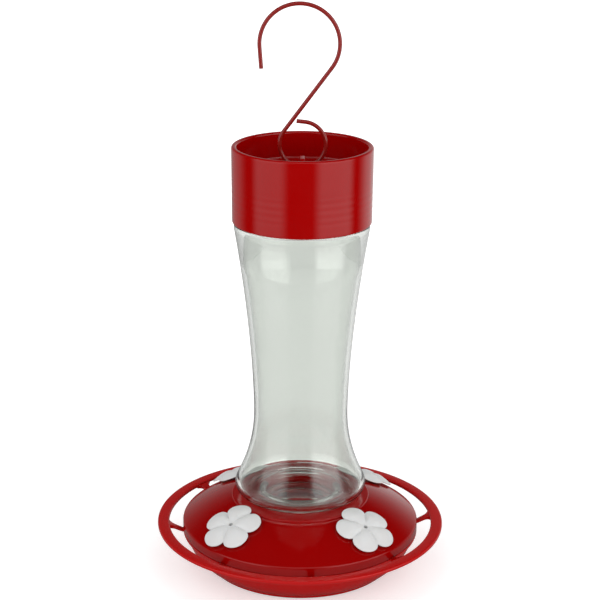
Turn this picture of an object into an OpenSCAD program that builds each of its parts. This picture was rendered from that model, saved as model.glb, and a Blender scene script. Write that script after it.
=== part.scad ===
// Hanging nectar feeder for hummingbirds. A pinched glass bottle stands neck down in a
// covered dish with a perch ring and four flower ports, under a cup shaped cap and a wire hook.
// Millimetres, +Z up, origin on the standing plane at the centre of the foot.

/* [Bowl] */
// Radius of the foot that the feeder stands on
foot_r = 57.5; // [50:0.5:62]
// Width of the standing ring under the foot
foot_w = 6; // [4:0.5:10]
// Depth of the recess inside the standing ring
foot_recess = 1.5; // [0.8:0.1:2.5]
// Height from the foot to the shelf under the cover
bowl_h = 21.6; // [17:0.1:27]
// Wall of the bowl
bowl_t = 2.2; // [1.8:0.1:2.8]
// Outward swell of the bowl's side
bowl_swell = 2.4; // [1:0.1:4]
// Thickness of the shelf that carries the cover and the spokes
shelf_t = 2.2; // [1.6:0.1:3]
// Height of the lip that stands up inside the cover
lip_h = 4.5; // [3:0.1:5.5]

/* [Perch] */
// Gap between the cover and the perch ring, for a bird's claws
perch_gap = 8.5; // [6:0.5:14]
// Width of the perch ring
perch_w = 7; // [5:0.1:9]
// Thickness of the perch ring
perch_t = 2.4; // [2:0.1:4]
// Height of the perch ring's top above the shelf
perch_rise = 5.1; // [3.5:0.1:7]
// Number of spokes
spoke_count = 8; // [6:1:12]
// Width of a spoke
spoke_w = 4.6; // [3.5:0.1:7]
// Thickness of a spoke
spoke_t = 2.4; // [1.8:0.1:3]
// Radius of the flare where a spoke meets the ring
spoke_flare = 3.6; // [2:0.1:5]
// Turn of the first spoke from the X axis
spoke_turn = 5.5; // [0:0.5:44]

/* [Cover] */
// Width of the cover outside the middle of a port
cover_edge = 16.5; // [13:0.5:19]
// Wall of the cover
cover_t = 2; // [1.6:0.1:2.6]
// Height of the dome's edge above the bottom of the skirt
edge_h = 6; // [5:0.1:9]
// Inset of the dome's edge from the skirt, which sets its rounding
edge_inset = 0.75; // [0.4:0.05:1]
// Height of the raised land round the bottle above the bottom of the skirt
land_h = 21.2; // [18:0.1:25]
// Width of the raised land that shows round the bottle
land_edge = 2.3; // [1:0.1:5]
// Step from the land down to the dome
land_step = 1.3; // [0.8:0.1:2]
// Outward bulge of the dome
dome_bulge = 1.2; // [0.6:0.1:2.4]

/* [Collar] */
// Wall of the threaded collar
collar_t = 2.8; // [2.2:0.1:3.6]
// Number of windows that let the nectar out of the collar
window_count = 6; // [3:1:8]
// Width of a window
window_w = 8; // [5:0.5:12]
// Height of a window
window_h = 5; // [3:0.5:8]
// Radius of the hollow boss in the middle of the seat
boss_r = 12; // [9:0.5:14]
// Height of the boss above the seat
boss_h = 7.4; // [5:0.1:9]

/* [Flower ports] */
// Reach of the inmost petal over the raised land
petal_over = 4.7; // [0:0.1:6]
// Direction of the first port from the X axis
port_turn = 43.5; // [30:0.5:60]
// Turn of each flower about its stem, from a petal that points at the bottle
petal_turns = [-8, 0, 22, -5]; // [-36:1:36]
// Reach of a petal from the middle of the flower
petal_reach = 18.2; // [15:0.1:19]
// Radius of a petal's outline
petal_r = 8.9; // [7:0.1:9.4]
// Radius of the petals' rounded top from crown to tip
petal_dome = 24.5; // [22:0.5:40]
// Thickness of a petal at its tip
petal_t = 0.9; // [0.7:0.1:1.2]
// Thickness of the petals at their crown
crown_t = 1.6; // [1.4:0.1:2]
// Height of the petals' crown above the dome
petal_rise = 3.9; // [3.7:0.1:5]
// Depth of the crease between two petals
crease = 0.6; // [0.3:0.05:0.7]
// Radius of the hub under the petals
hub_r = 5.5; // [4.8:0.1:6.5]
// Radius of the stem that pushes into the cover
stem_r = 3.4; // [2.8:0.1:4]
// Length of the stem below the dome
stem_len = 10; // [7:0.5:12]
// Radius of the drinking hole
sip_r = 1.3; // [1:0.1:1.8]

/* [Bottle] */
// Greatest radius of the bottle near its foot
base_r = 39.7; // [37:0.1:41]
// Radius of the waist
waist_r = 28.2; // [26:0.1:33]
// Step from the top of the body in to the wide mouth
top_step = 3.5; // [2.5:0.1:5]
// Rounding of the lower shoulder
shoulder_r = 6.5; // [5:0.1:8]
// Height of the body from the lower shoulder to the upper one
body_h = 167.5; // [140:0.5:190]
// Height of the waist above the lower shoulder
waist_h = 53.1; // [45:0.5:70]
// Wall of the glass body
glass_t = 2.6; // [2:0.1:3.2]
// Outer radius of the wide mouth
mouth_r = 36.4; // [35:0.1:37]
// Wall of the wide mouth
mouth_t = 3; // [2.4:0.1:3.6]
// Height of the wide mouth above the body
mouth_h = 27.5; // [24:0.5:32]
// Outer radius of the lower neck
neck_r = 24; // [22:0.1:26]
// Wall of the lower neck
neck_t = 3.4; // [2.8:0.1:4]
// Length of the lower neck
neck_h = 16.1; // [14:0.1:18]

/* [Cap] */
// Wall of the cap outside its threads
cap_t = 3.3; // [2.7:0.1:5]
// Loss of radius from the rim to the bottom of the cap
cap_draft = 0.3; // [0:0.05:0.5]
// Wall of the cup at its rim
rim_t = 3.2; // [2.4:0.1:4]
// Depth of the cup that holds water against ants
moat_depth = 16.8; // [13:0.1:22]
// Thickness of the floor of the cup
floor_t = 2; // [1.6:0.1:3]
// Height of the threaded skirt below the floor
skirt_h = 26; // [22:0.1:28]
// Thickness of the hanging tab
tab_t = 3.1; // [2.4:0.1:4]
// Width of the hanging tab
tab_w = 14; // [11:0.5:18]
// Height of the hanging tab above the floor of the cup
tab_h = 10; // [8.5:0.1:12]
// Height of the eye in the tab above the floor of the cup
eye_h = 4.2; // [3.5:0.1:5]

/* [Seals] */
// Thickness of the seal in the cap
cap_seal_t = 2; // [1.5:0.1:3]
// Thickness of the seal under the neck
neck_seal_t = 1.8; // [1.4:0.1:2.4]

/* [Hook] */
// Diameter of the wire
wire_d = 2.4; // [2:0.1:2.8]
// Radius of the lower loop at the middle of the wire
loop_r = 13.3; // [12.5:0.1:14.5]
// Radius of the upper arc at the middle of the wire
hook_r = 22.8; // [18:0.1:28]
// Length of the straight shank
shank_len = 45.4; // [35:0.1:60]
// Slope of the shank
shank_slope = 53.5; // [50:0.5:60]
// Length of the straight tail of the hook
tail_len = 12.4; // [6:0.1:18]
// Inward lean of the tail
tail_lean = 4.4; // [0:0.1:10]
// Length of the straight end that closes the loop
loop_tail = 5; // [2:0.1:5.2]

/* [Clearances] */
// Gap between the cover's skirt and the bowl's shelf, and its lip
seat_gap = 0.3; // [0.2:0.05:0.4]
// Gap round the threads and between turning walls
thread_gap = 0.6; // [0.4:0.05:0.9]
// Gap round a flower's stem
stem_gap = 0.2; // [0.15:0.05:0.3]
// Room for the threads between the wide mouth and the cap
thread_room = 1.5; // [1.2:0.1:2]
// Gap between the bottle and the raised land
stand_gap = 1.5; // [1:0.1:2.5]
// Gap round the wire in the eye
eye_gap = 0.4; // [0.3:0.05:0.6]

/* [Hidden] */
$fn = 72;
red = "#a80a0c";
bowl_red = "#960c0c";
white = "#e4e7e3";
clear_glass = "#c8d4cc";
silicone = "#d9d6cc";
port_pitch = 90;
petals = 5;
petal_pitch = 360/petals;
arc_steps = 8;

// Radii, from the bottle out to the perch
land_r = base_r + land_edge;
port_r = land_r + petal_reach - petal_over;
cover_r = port_r + cover_edge;
perch_in = cover_r + perch_gap;
perch_r = perch_in + perch_w;
collar_in = neck_r + thread_gap;
collar_out = collar_in + collar_t;
top_r = mouth_r + top_step;
skirt_in = mouth_r + thread_room;
cap_r = skirt_in + cap_t;

// Heights, from the foot up
z_shelf = bowl_h;
z_skirt = z_shelf + seat_gap;
z_edge = z_skirt + edge_h;
z_land = z_skirt + land_h;
z_under = z_land + stand_gap;
z_lip = z_under - neck_h;
z_seat = z_lip - neck_seal_t;
z_collar = z_seat - cover_t;
z_waist = z_under + waist_h;
z_top = z_under + body_h;
z_mouth = z_top + mouth_h;
z_under_floor = z_mouth + cap_seal_t;
z_floor = z_under_floor + floor_t;
z_rim = z_floor + moat_depth;
z_cap = z_under_floor - skirt_h;
z_eye = z_floor + eye_h;
z_ring = z_shelf + perch_rise;

// Points of a round stretch about a centre, from one angle to another
function arc(c, r, a0, a1, n = arc_steps) =
    [for (i = [0:n]) let (a = a0 + (a1 - a0)*i/n) [c.x + r*cos(a), c.y + r*sin(a)]];
function mid(p, q) = (p + q)/2;
// Radius of the circle through two points that swells by a given height between them
function swell_radius(p, q, s) = (norm(q - p)^2/4 + s*s)/(2*s);
// Its centre, on the right-hand side of the way from p to q
function swell_centre(p, q, s) =
    let (d = (q - p)/norm(q - p)) mid(p, q) + [d.y, -d.x]*(swell_radius(p, q, s) - s);
function angle_of(c, p) = atan2(p.y - c.y, p.x - c.x);

// The dome's outer arc runs from the land's step to the edge above the skirt
dome_in = [land_r, z_land - land_step];
dome_out = [cover_r - edge_inset, z_edge];
dome_r = swell_radius(dome_in, dome_out, dome_bulge);
dome_c = swell_centre(dome_in, dome_out, dome_bulge);
dome_edge_a = angle_of(dome_c, dome_out);
edge_r = edge_inset/(1 - cos(dome_edge_a));
function dome_z(r, t = 0) = dome_c.y + sqrt((dome_r - t)^2 - (r - dome_c.x)^2);
port_z = dome_z(port_r);
port_tilt = asin((port_r - dome_c.x)/dome_r);

module lathe(points) rotate_extrude($fn = 144) polygon(points);

// Bowl
module bowl_shell() {
    side_low = [foot_r, 1.6];
    side_high = [cover_r - 2, z_shelf - shelf_t];
    side_r = swell_radius(side_high, side_low, bowl_swell);
    side_c = swell_centre(side_high, side_low, bowl_swell);
    a_low = angle_of(side_c, side_low);
    a_high = angle_of(side_c, side_high);
    foot_in = foot_r - foot_w;
    floor_z = foot_recess + bowl_t;
    lip_out = cover_r - cover_t - seat_gap;
    lip_in = lip_out - bowl_t;
    in_r = side_r - bowl_t;
    a_floor = asin((floor_z - side_c.y)/in_r);
    a_lip = -acos((lip_in - side_c.x)/in_r);
    lathe(concat(
        [[0, foot_recess], [foot_in - 0.8, foot_recess], [foot_in, 0]],
        arc([foot_r - 1.6, 1.6], 1.6, -90, 0, 4),
        arc(side_c, side_r, a_low, a_high, 12),
        [[cover_r, z_shelf - shelf_t + 0.6], [cover_r, z_shelf], [lip_out, z_shelf]],
        [[lip_out, z_shelf + lip_h - 0.6], [lip_out - 0.6, z_shelf + lip_h], [lip_in, z_shelf + lip_h]],
        arc(side_c, in_r, a_lip, a_floor, 12),
        [[0, floor_z]]));
}

module perch_ring() {
    r = min(0.9, perch_t*0.35);
    translate([0, 0, z_ring - perch_t])
        lathe(concat(
            arc([perch_r - r, r], r, -90, 0, 4),
            arc([perch_r - r, perch_t - r], r, 0, 90, 4),
            arc([perch_in + r, perch_t - r], r, 90, 180, 4),
            arc([perch_in + r, r], r, 180, 270, 4)));
}

// One spoke is its side view crossed with its plan, which flares into the ring
module spoke() {
    root = cover_r - 3;
    tip = perch_in + perch_w/2;
    rise = cover_r + 0.6;
    top = z_ring - 1.2;
    low = z_shelf - shelf_t + 0.35;
    high = z_shelf - 0.25;
    half = spoke_w/2;
    knee = perch_in - spoke_flare;
    intersection() {
        rotate([90, 0, 0])
            linear_extrude(height = spoke_w + 2*spoke_flare, center = true)
                polygon([[root, low], [rise, low], [perch_in, top - spoke_t], [tip, top - spoke_t],
                         [tip, top], [perch_in, top], [rise, high], [root, high]]);
        translate([0, 0, z_shelf - shelf_t - 1])
            linear_extrude(height = perch_rise + shelf_t + 2)
                polygon(concat(
                    [[root, -half]],
                    [for (p = arc([knee, half + spoke_flare], spoke_flare, -90, 0, 5)) [p.x, -p.y]],
                    [[tip, -half - spoke_flare], [tip, half + spoke_flare]],
                    arc([knee, half + spoke_flare], spoke_flare, 0, -90, 5),
                    [[root, half]]));
    }
}

module base_bowl() {
    color(bowl_red) union() {
        bowl_shell();
        perch_ring();
        for (i = [0:spoke_count - 1]) rotate([0, 0, spoke_turn + i*360/spoke_count]) spoke();
    }
}

// Cover
module cover_shell() {
    wall_in = cover_r - cover_t;
    inner_a0 = acos((wall_in - dome_c.x)/(dome_r - cover_t));
    land_in = land_r - cover_t/2;
    inner_a1 = acos((land_in - dome_c.x)/(dome_r - cover_t));
    corner = 0.6;
    boss_round = 2.5;
    boss_top = z_seat + boss_h;
    edge_c = dome_out - edge_r*[cos(dome_edge_a), sin(dome_edge_a)];
    lathe(concat(
        [[wall_in, z_skirt], [cover_r, z_skirt]],
        arc(edge_c, edge_r, 0, dome_edge_a, 5),
        arc(dome_c, dome_r, dome_edge_a, angle_of(dome_c, dome_in), 14),
        arc([land_r - corner, z_land - corner], corner, 0, 90, 3),
        [[collar_in + corner, z_land], [collar_in, z_land - corner], [collar_in, z_seat]],
        [[boss_r, z_seat]],
        arc([boss_r - boss_round, boss_top - boss_round], boss_round, 0, 90, 5),
        [[0, boss_top], [0, boss_top - cover_t], [boss_r - cover_t, boss_top - cover_t]],
        [[boss_r - cover_t, z_collar], [collar_out, z_collar], [collar_out, z_land - cover_t]],
        [[land_in, z_land - cover_t]],
        arc(dome_c, dome_r - cover_t, inner_a1, inner_a0, 14)));
}

module at_port(k) {
    rotate([0, 0, port_turn + k*port_pitch])
        translate([port_r, 0, port_z])
            rotate([0, port_tilt, 0])
                children();
}

// Short tube under the dome that guides a flower's stem
module port_guide() {
    guide_len = 5;
    translate([0, 0, -guide_len]) cylinder(h = guide_len - 1, r = stem_r + stem_gap + 1.6);
}

module collar_windows() {
    for (i = [0:window_count - 1])
        rotate([0, 0, i*360/window_count])
            translate([collar_in - 1, -window_w/2, z_lip + 0.6])
                cube([collar_t + 2, window_w, window_h]);
}

module base_cover() {
    color(red) difference() {
        union() {
            cover_shell();
            for (k = [0:3]) at_port(k) port_guide();
        }
        collar_windows();
        for (k = [0:3]) at_port(k) cylinder(h = 20, r = stem_r + stem_gap, center = true);
    }
}

// Flowers
crown_r = 6;
function petal_drop(r, dome) = dome - sqrt(dome^2 - (r - crown_r)^2);

// Plan of five overlapping round petals
module petal_plan() {
    circle(r = 2.2);
    for (i = [0:petals - 1]) rotate(180 + i*petal_pitch) translate([petal_reach - petal_r, 0]) circle(r = petal_r);
}

// Drooping shell that the plan cuts into petals, with a dip at the drinking hole
module petal_shell() {
    tip_low = petal_rise - petal_drop(petal_reach, petal_dome) - petal_t;
    low_drop = petal_rise - crown_t - tip_low;
    low_dome = ((petal_reach + 0.4 - crown_r)^2 + low_drop^2)/(2*low_drop);
    rs = [for (i = [0:6]) crown_r + i*(petal_reach + 0.4 - crown_r)/6];
    rotate_extrude($fn = 96)
        polygon(concat(
            [[0, petal_rise - 0.95], [2, petal_rise - 0.85], [4, petal_rise - 0.2]],
            [for (r = rs) [r, petal_rise - petal_drop(r, petal_dome)]],
            [for (i = [6:-1:0]) [rs[i], petal_rise - crown_t - petal_drop(rs[i], low_dome)]],
            [[0, petal_rise - crown_t]]));
}

// Shallow groove that sinks between two petals towards their outer edge
module petal_crease() {
    from = [5, petal_rise - 0.05];
    to = [14, petal_rise - petal_drop(14, petal_dome) - crease];
    rotate([0, atan2(from.y - to.y, to.x - from.x), 0])
        translate([from.x*cos(12) - 3, 0, from.y + from.x*sin(12)])
            rotate([90, 0, 90])
                linear_extrude(height = 24) polygon([[-0.3, 0], [0.3, 0], [12, 2.8], [-12, 2.8]]);
}

module flower(k) {
    hub_low = 0.3;
    hub_high = petal_rise - 1;
    color(white) at_port(k) rotate([0, 0, petal_turns[k]]) difference() {
        union() {
            intersection() {
                petal_shell();
                translate([0, 0, -3]) linear_extrude(height = 12) petal_plan();
            }
            translate([0, 0, hub_low]) cylinder(h = hub_high - hub_low, r = hub_r);
            translate([0, 0, -stem_len]) cylinder(h = stem_len + hub_high - 0.5, r = stem_r);
        }
        for (i = [0:petals - 1]) rotate([0, 0, (i + 0.5)*petal_pitch + 180]) petal_crease();
        translate([0, 0, -stem_len - 1]) cylinder(h = stem_len + petal_rise + 3, r = sip_r);
    }
}

// Bottle
flare_pow = 2.05;
rise_pow = 1.65;
shoulder_c = [base_r - shoulder_r, z_under + shoulder_r];
flare_a = atan(flare_pow*(base_r - waist_r)/(z_waist - shoulder_c.y));
flare_start = shoulder_c + shoulder_r*[cos(flare_a), sin(flare_a)];
function body_r(z) =
    z < z_waist
    ? waist_r + (flare_start.x - waist_r)*pow((z_waist - z)/(z_waist - flare_start.y), flare_pow)
    : waist_r + (top_r - waist_r)*pow((z - z_waist)/(z_top - z_waist), rise_pow);

module bottle() {
    low_n = 12;
    high_n = 18;
    crown = 1.8;
    neck_round = 1.2;
    bore = neck_r - neck_t;
    mouth_in = mouth_r - mouth_t;
    z_in = z_under + glass_t;
    z_turn = z_top - 6;
    low = flare_start.y;
    function body_step(i, z0, z1, n, t) = let (z = z0 + (z1 - z0)*i/n) [body_r(z) - t, z];
    outer = concat(
        [[bore + 0.6, z_lip], [neck_r - 0.6, z_lip], [neck_r, z_lip + 0.6], [neck_r, z_under - neck_round]],
        arc([neck_r + neck_round, z_under - neck_round], neck_round, 180, 90, 4),
        arc(shoulder_c, shoulder_r, -90, flare_a, 10),
        [for (i = [1:low_n]) body_step(i, low, z_waist, low_n, 0)],
        [for (i = [1:high_n]) body_step(i, z_waist, z_top, high_n, 0)],
        arc([top_r - crown, z_top], crown, 15, 90, 5),
        [[mouth_r, z_top + crown + 0.4], [mouth_r, z_mouth - 1]],
        arc([mouth_r - 1, z_mouth - 1], 1, 0, 90, 3));
    inner = concat(
        arc([mouth_in + 1, z_mouth - 1], 1, 90, 180, 3),
        [[mouth_in, z_top + 1]],
        [[mid([mouth_in, 0], [body_r(z_turn) - glass_t, 0]).x, z_top - 2]],
        [for (i = [high_n - 1:-1:1]) body_step(i, z_waist, z_turn, high_n, glass_t)],
        [for (i = [low_n:-1:0]) body_step(i, low, z_waist, low_n, glass_t)],
        arc(shoulder_c, shoulder_r - glass_t, flare_a, -90, 8),
        arc([bore + 3, z_in - 3], 3, 90, 180, 6),
        [[bore, z_lip + 0.6]]);
    color(clear_glass, 0.4) lathe(concat(outer, inner));
}

// Seals
module neck_seal() {
    color(silicone) translate([0, 0, z_seat])
        difference() {
            cylinder(h = neck_seal_t, r = neck_r + thread_gap/2);
            translate([0, 0, -1]) cylinder(h = neck_seal_t + 2, r = neck_r - neck_t - 0.8);
        }
}

module cap_seal() {
    color(silicone) translate([0, 0, z_mouth])
        difference() {
            cylinder(h = cap_seal_t, r = mouth_r + thread_gap/2);
            translate([0, 0, -1]) cylinder(h = cap_seal_t + 2, r = mouth_r - mouth_t - 1.2);
        }
}

// Cap
module cap_shell() {
    low_r = cap_r - cap_draft;
    cup_r = cap_r - rim_t;
    lip = 1.2;
    hem = 0.8;
    fillet = 2.4;
    lathe(concat(
        [[skirt_in, z_cap + 0.5], [skirt_in + 0.5, z_cap]],
        arc([low_r - hem, z_cap + hem], hem, -90, 0, 4),
        arc([cap_r - lip, z_rim - lip], lip, 0, 90, 5),
        arc([cup_r + lip, z_rim - lip], lip, 90, 180, 5),
        arc([cup_r - 0.4 - fillet, z_floor + fillet], fillet, 0, -90, 5),
        [[0, z_floor], [0, z_under_floor], [skirt_in, z_under_floor]]));
}

// Flat tab with rounded corners and an eye for the wire
module hanging_tab() {
    corner = 3;
    foot = 1;
    translate([-tab_t/2, 0, z_floor])
        rotate([90, 0, 90])
            linear_extrude(height = tab_t)
                polygon(concat(
                    [[-tab_w/2, -foot], [tab_w/2, -foot]],
                    arc([tab_w/2 - corner, tab_h - corner], corner, 0, 90, 5),
                    arc([corner - tab_w/2, tab_h - corner], corner, 90, 180, 5)));
}

module top_cap() {
    color(red) difference() {
        union() {
            cap_shell();
            hanging_tab();
        }
        translate([-tab_t, 0, z_eye]) rotate([0, 90, 0]) cylinder(h = 2*tab_t, r = wire_d/2 + eye_gap);
    }
}

// Hook, bent in the XZ plane from one round wire. Each length of wire starts where
// its parent ends, and heads along +Y of its own frame.
function polar(a) = [cos(a), sin(a)];
loop_sweep = 444 - 90 - shank_slope;
hook_sweep = 270 - shank_slope + tail_lean;
loop_c = [0, z_eye + loop_r];
shank_low = loop_c + loop_r*polar(shank_slope + 90);

// A straight length is a hair thicker than a bend and reaches a little into it
module straight_wire(len) {
    lap = 0.3;
    translate([0, -lap, 0]) rotate([-90, 0, 0]) cylinder(h = len + 2*lap, d = wire_d + 0.06, $fn = 32);
    translate([0, len, 0]) children();
}

module bent_wire(r, sweep) {
    translate([-r, 0, 0]) {
        rotate_extrude(angle = sweep) translate([r, 0]) circle(d = wire_d, $fn = 32);
        rotate([0, 0, sweep]) translate([r, 0, 0]) children();
    }
}

module hanging_hook() {
    color(red)
        translate([shank_low.x, 0, shank_low.y])
            rotate([90, 0, 0])
                rotate([0, 0, shank_slope - 90])
                    union() {
                        straight_wire(shank_len) bent_wire(hook_r, hook_sweep) straight_wire(tail_len);
                        rotate([0, 0, 180]) bent_wire(loop_r, loop_sweep) straight_wire(loop_tail);
                    }
}

base_bowl();
base_cover();
neck_seal();
bottle();
cap_seal();
top_cap();
hanging_hook();
flower(0);  // flower_1
flower(1);  // flower_2
flower(2);  // flower_3
flower(3);  // flower_4
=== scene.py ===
"""Looks of a hanging nectar feeder for hummingbirds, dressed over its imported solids.

Sizes in the classes are millimetres, as in the part's source, and turn to metres in the meshes.
The frame has +Z up along the bottle's axis, +X to the right and -Y towards the viewer.
"""

import logging
import math
from collections.abc import Callable, Sequence
from dataclasses import dataclass, field
from enum import Enum

import bmesh
import bpy
from mathutils import Matrix, Vector


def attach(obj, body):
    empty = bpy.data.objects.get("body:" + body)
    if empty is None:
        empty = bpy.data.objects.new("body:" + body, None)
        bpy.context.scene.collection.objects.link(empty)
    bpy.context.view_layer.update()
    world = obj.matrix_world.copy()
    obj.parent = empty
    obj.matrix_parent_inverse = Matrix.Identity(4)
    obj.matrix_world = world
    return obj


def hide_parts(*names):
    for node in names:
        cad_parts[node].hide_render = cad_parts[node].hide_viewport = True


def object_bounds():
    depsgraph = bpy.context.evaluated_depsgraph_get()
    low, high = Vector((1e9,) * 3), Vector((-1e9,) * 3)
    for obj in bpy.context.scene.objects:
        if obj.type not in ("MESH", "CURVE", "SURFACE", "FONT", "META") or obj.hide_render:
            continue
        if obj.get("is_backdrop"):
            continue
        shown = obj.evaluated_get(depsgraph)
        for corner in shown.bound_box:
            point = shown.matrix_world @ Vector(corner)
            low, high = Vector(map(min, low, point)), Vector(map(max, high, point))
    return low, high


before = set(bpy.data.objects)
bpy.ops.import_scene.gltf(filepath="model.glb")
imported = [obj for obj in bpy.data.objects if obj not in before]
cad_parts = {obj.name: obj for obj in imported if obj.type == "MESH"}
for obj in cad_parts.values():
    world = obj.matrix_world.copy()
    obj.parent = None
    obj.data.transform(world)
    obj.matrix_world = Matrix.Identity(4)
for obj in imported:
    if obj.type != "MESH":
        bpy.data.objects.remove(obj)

LOG = logging.getLogger("feeder")
MM = 0.001
TURN = 2 * math.pi
Pair = tuple[float, float]
# A place: radius and height in an outline, or two coordinates
Point = tuple[float, float]
# Radius, height and rounding of an outline's corner
Corner = tuple[float, float, float]
# Gives what to add to a radius at a radius, a height and an angle
Push = Callable[[float, float, float], float]
# A length or a share that counts as nothing
TINY = 1e-6
# A point this near to a wall's radius, in millimetres, lies on that wall
NEAR = 0.01


class Body(Enum):
    """The rigid bodies that the pieces ride on."""

    DISH = "dish"
    COVER = "cover"
    LOWER_SEAL = "lower_seal"
    BOTTLE = "bottle"
    UPPER_SEAL = "upper_seal"
    CAP = "cap"
    HOOK = "hook"


# Profiles and meshes


def arc(centre: Point, radius: float, start: float, end: float, steps: int = 8) -> list[Point]:
    """Gives points along a round stretch, both ends included.

    Args:
        centre: Middle of the circle.
        radius: Its radius.
        start: First angle in degrees.
        end: Last angle in degrees.
        steps: Number of stretches between points.

    Returns:
        The points in order.
    """
    angles = [math.radians(start + (end - start) * i / steps) for i in range(steps + 1)]
    return [(centre[0] + radius * math.cos(a), centre[1] + radius * math.sin(a)) for a in angles]


def rounded(corners: Sequence[Corner], steps: int = 5) -> list[Point]:
    """Rounds the corners of a closed outline.

    Args:
        corners: Radius from the axis, height and rounding of each corner.
        steps: Number of stretches in each rounding.

    Returns:
        The outline with each rounded corner replaced by an arc.
    """
    out: list[Point] = []
    count = len(corners)
    # A rounding takes at most this share of a side, and a corner as flat as this stays as it is
    share, flat = 0.49, math.radians(88)
    for i, (x, z, rounding) in enumerate(corners):
        here = Vector((x, z))
        before = Vector(corners[i - 1][:2]) - here
        after = Vector(corners[(i + 1) % count][:2]) - here
        shortest = min(before.length, after.length)
        half = before.angle(after) / 2 if shortest > TINY else math.pi / 2
        if rounding <= 0 or half > flat:
            out.append((x, z))
            continue
        reach = min(rounding / math.tan(half), share * shortest)
        radius = reach * math.tan(half)
        middle = here + (before.normalized() + after.normalized()).normalized() * (radius / math.sin(half))
        first = here + before.normalized() * reach - middle
        last = here + after.normalized() * reach - middle
        sweep = first.angle_signed(last)
        for k in range(steps + 1):
            turned = Matrix.Rotation(-sweep * k / steps, 2) @ first
            out.append((middle.x + turned.x, middle.y + turned.y))
    return out


def swell(start: Point, end: Point, height: float, steps: int) -> list[Point]:
    """Joins two points by an arc that bulges to the left of the way between them.

    Args:
        start: First point.
        end: Last point.
        height: Bulge of the arc at its middle.
        steps: Number of stretches.

    Returns:
        The points of the arc in order.
    """
    a, b = Vector(start), Vector(end)
    chord = (b - a).length
    radius = (chord * chord / 4 + height * height) / (2 * height)
    along = (b - a).normalized()
    left = Vector((-along.y, along.x))
    centre = (a + b) / 2 - left * (radius - height)
    first, last = a - centre, b - centre
    sweep = first.angle_signed(last)
    points = [centre + Matrix.Rotation(-sweep * k / steps, 2) @ first for k in range(steps + 1)]
    return [(p.x, p.y) for p in points]


def finish_mesh(name: str, bm: bmesh.types.BMesh, sharp: float = 40.0) -> bpy.types.Object:
    """Turns a bmesh into a smooth shaded object whose hard edges stay hard.

    Args:
        name: Name of the object and its mesh.
        bm: The faces, which this call frees.
        sharp: Angle in degrees from which an edge is hard.

    Returns:
        The new object, linked to the scene.
    """
    bmesh.ops.recalc_face_normals(bm, faces=bm.faces)
    mesh = bpy.data.meshes.new(name)
    bm.to_mesh(mesh)
    bm.free()
    mesh.shade_smooth()
    mesh.set_sharp_from_angle(angle=math.radians(sharp))
    piece = bpy.data.objects.new(name, mesh)
    bpy.context.scene.collection.objects.link(piece)
    return piece


def lathe_faces(profile: Sequence[Point], segments: int, push: Push | None = None) -> bmesh.types.BMesh:
    """Turns a closed outline round the Z axis.

    Args:
        profile: Radius and height of each point, in order round the outline.
        segments: Number of steps round the axis.
        push: Gives what to add to the radius at a radius, height and angle, such as a thread.

    Returns:
        A bmesh in metres. A point on the axis becomes a pole.
    """
    bm = bmesh.new()
    rings: list[list[bmesh.types.BMVert]] = []
    for r, z in profile:
        if r < TINY:
            rings.append([bm.verts.new((0, 0, z * MM))])
            continue
        ring = []
        for k in range(segments):
            a = TURN * k / segments
            far = r + (push(r, z, a) if push else 0)
            ring.append(bm.verts.new((far * math.cos(a) * MM, far * math.sin(a) * MM, z * MM)))
        rings.append(ring)
    for ring, after in zip(rings, rings[1:] + rings[:1]):
        if len(ring) == 1 and len(after) == 1:
            continue
        for k in range(segments):
            n = (k + 1) % segments
            if len(ring) == 1:
                bm.faces.new((ring[0], after[k], after[n]))
            elif len(after) == 1:
                bm.faces.new((ring[k], after[0], ring[n]))
            else:
                bm.faces.new((ring[k], after[k], after[n], ring[n]))
    return bm


def lathe(name: str, profile: Sequence[Point], segments: int, push: Push | None = None) -> bpy.types.Object:
    """Makes a turned piece from a closed outline; see lathe_faces for the arguments."""
    return finish_mesh(name, lathe_faces(profile, segments, push))


def ease(x: float) -> float:
    """Rises smoothly from 0 to 1 as x does."""
    x = min(1.0, max(0.0, x))
    return x * x * (3 - 2 * x)


@dataclass(frozen=True)
class Thread:
    """A right-handed screw ridge round the axis, which fades out at both ends."""

    pitch: float
    height: float
    width: float
    low: float
    high: float
    phase: float = 0.0
    runout: float = 1.6
    flank: float = 1.25

    def rise(self, z: float, angle: float) -> float:
        """Gives the height of the ridge at a place on its wall.

        Args:
            z: Height of the place.
            angle: Its angle about the axis in radians.

        Returns:
            How far the ridge stands out there, 0 beside it.
        """
        along = (z - self.phase - self.pitch * angle / TURN) % self.pitch
        off = min(along, self.pitch - along)
        shape = ease(self.flank * (1 - 2 * off / self.width)) if off < self.width / 2 else 0.0
        ends = ease((z - self.low) / self.runout) * ease((self.high - z) / self.runout)
        return self.height * shape * ends


def heights(low: float, high: float, step: float) -> list[float]:
    """Gives evenly spaced heights from one level to another, ends included."""
    count = max(1, round(abs(high - low) / step))
    return [low + (high - low) * i / count for i in range(count + 1)]


# Geometry node trees


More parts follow.
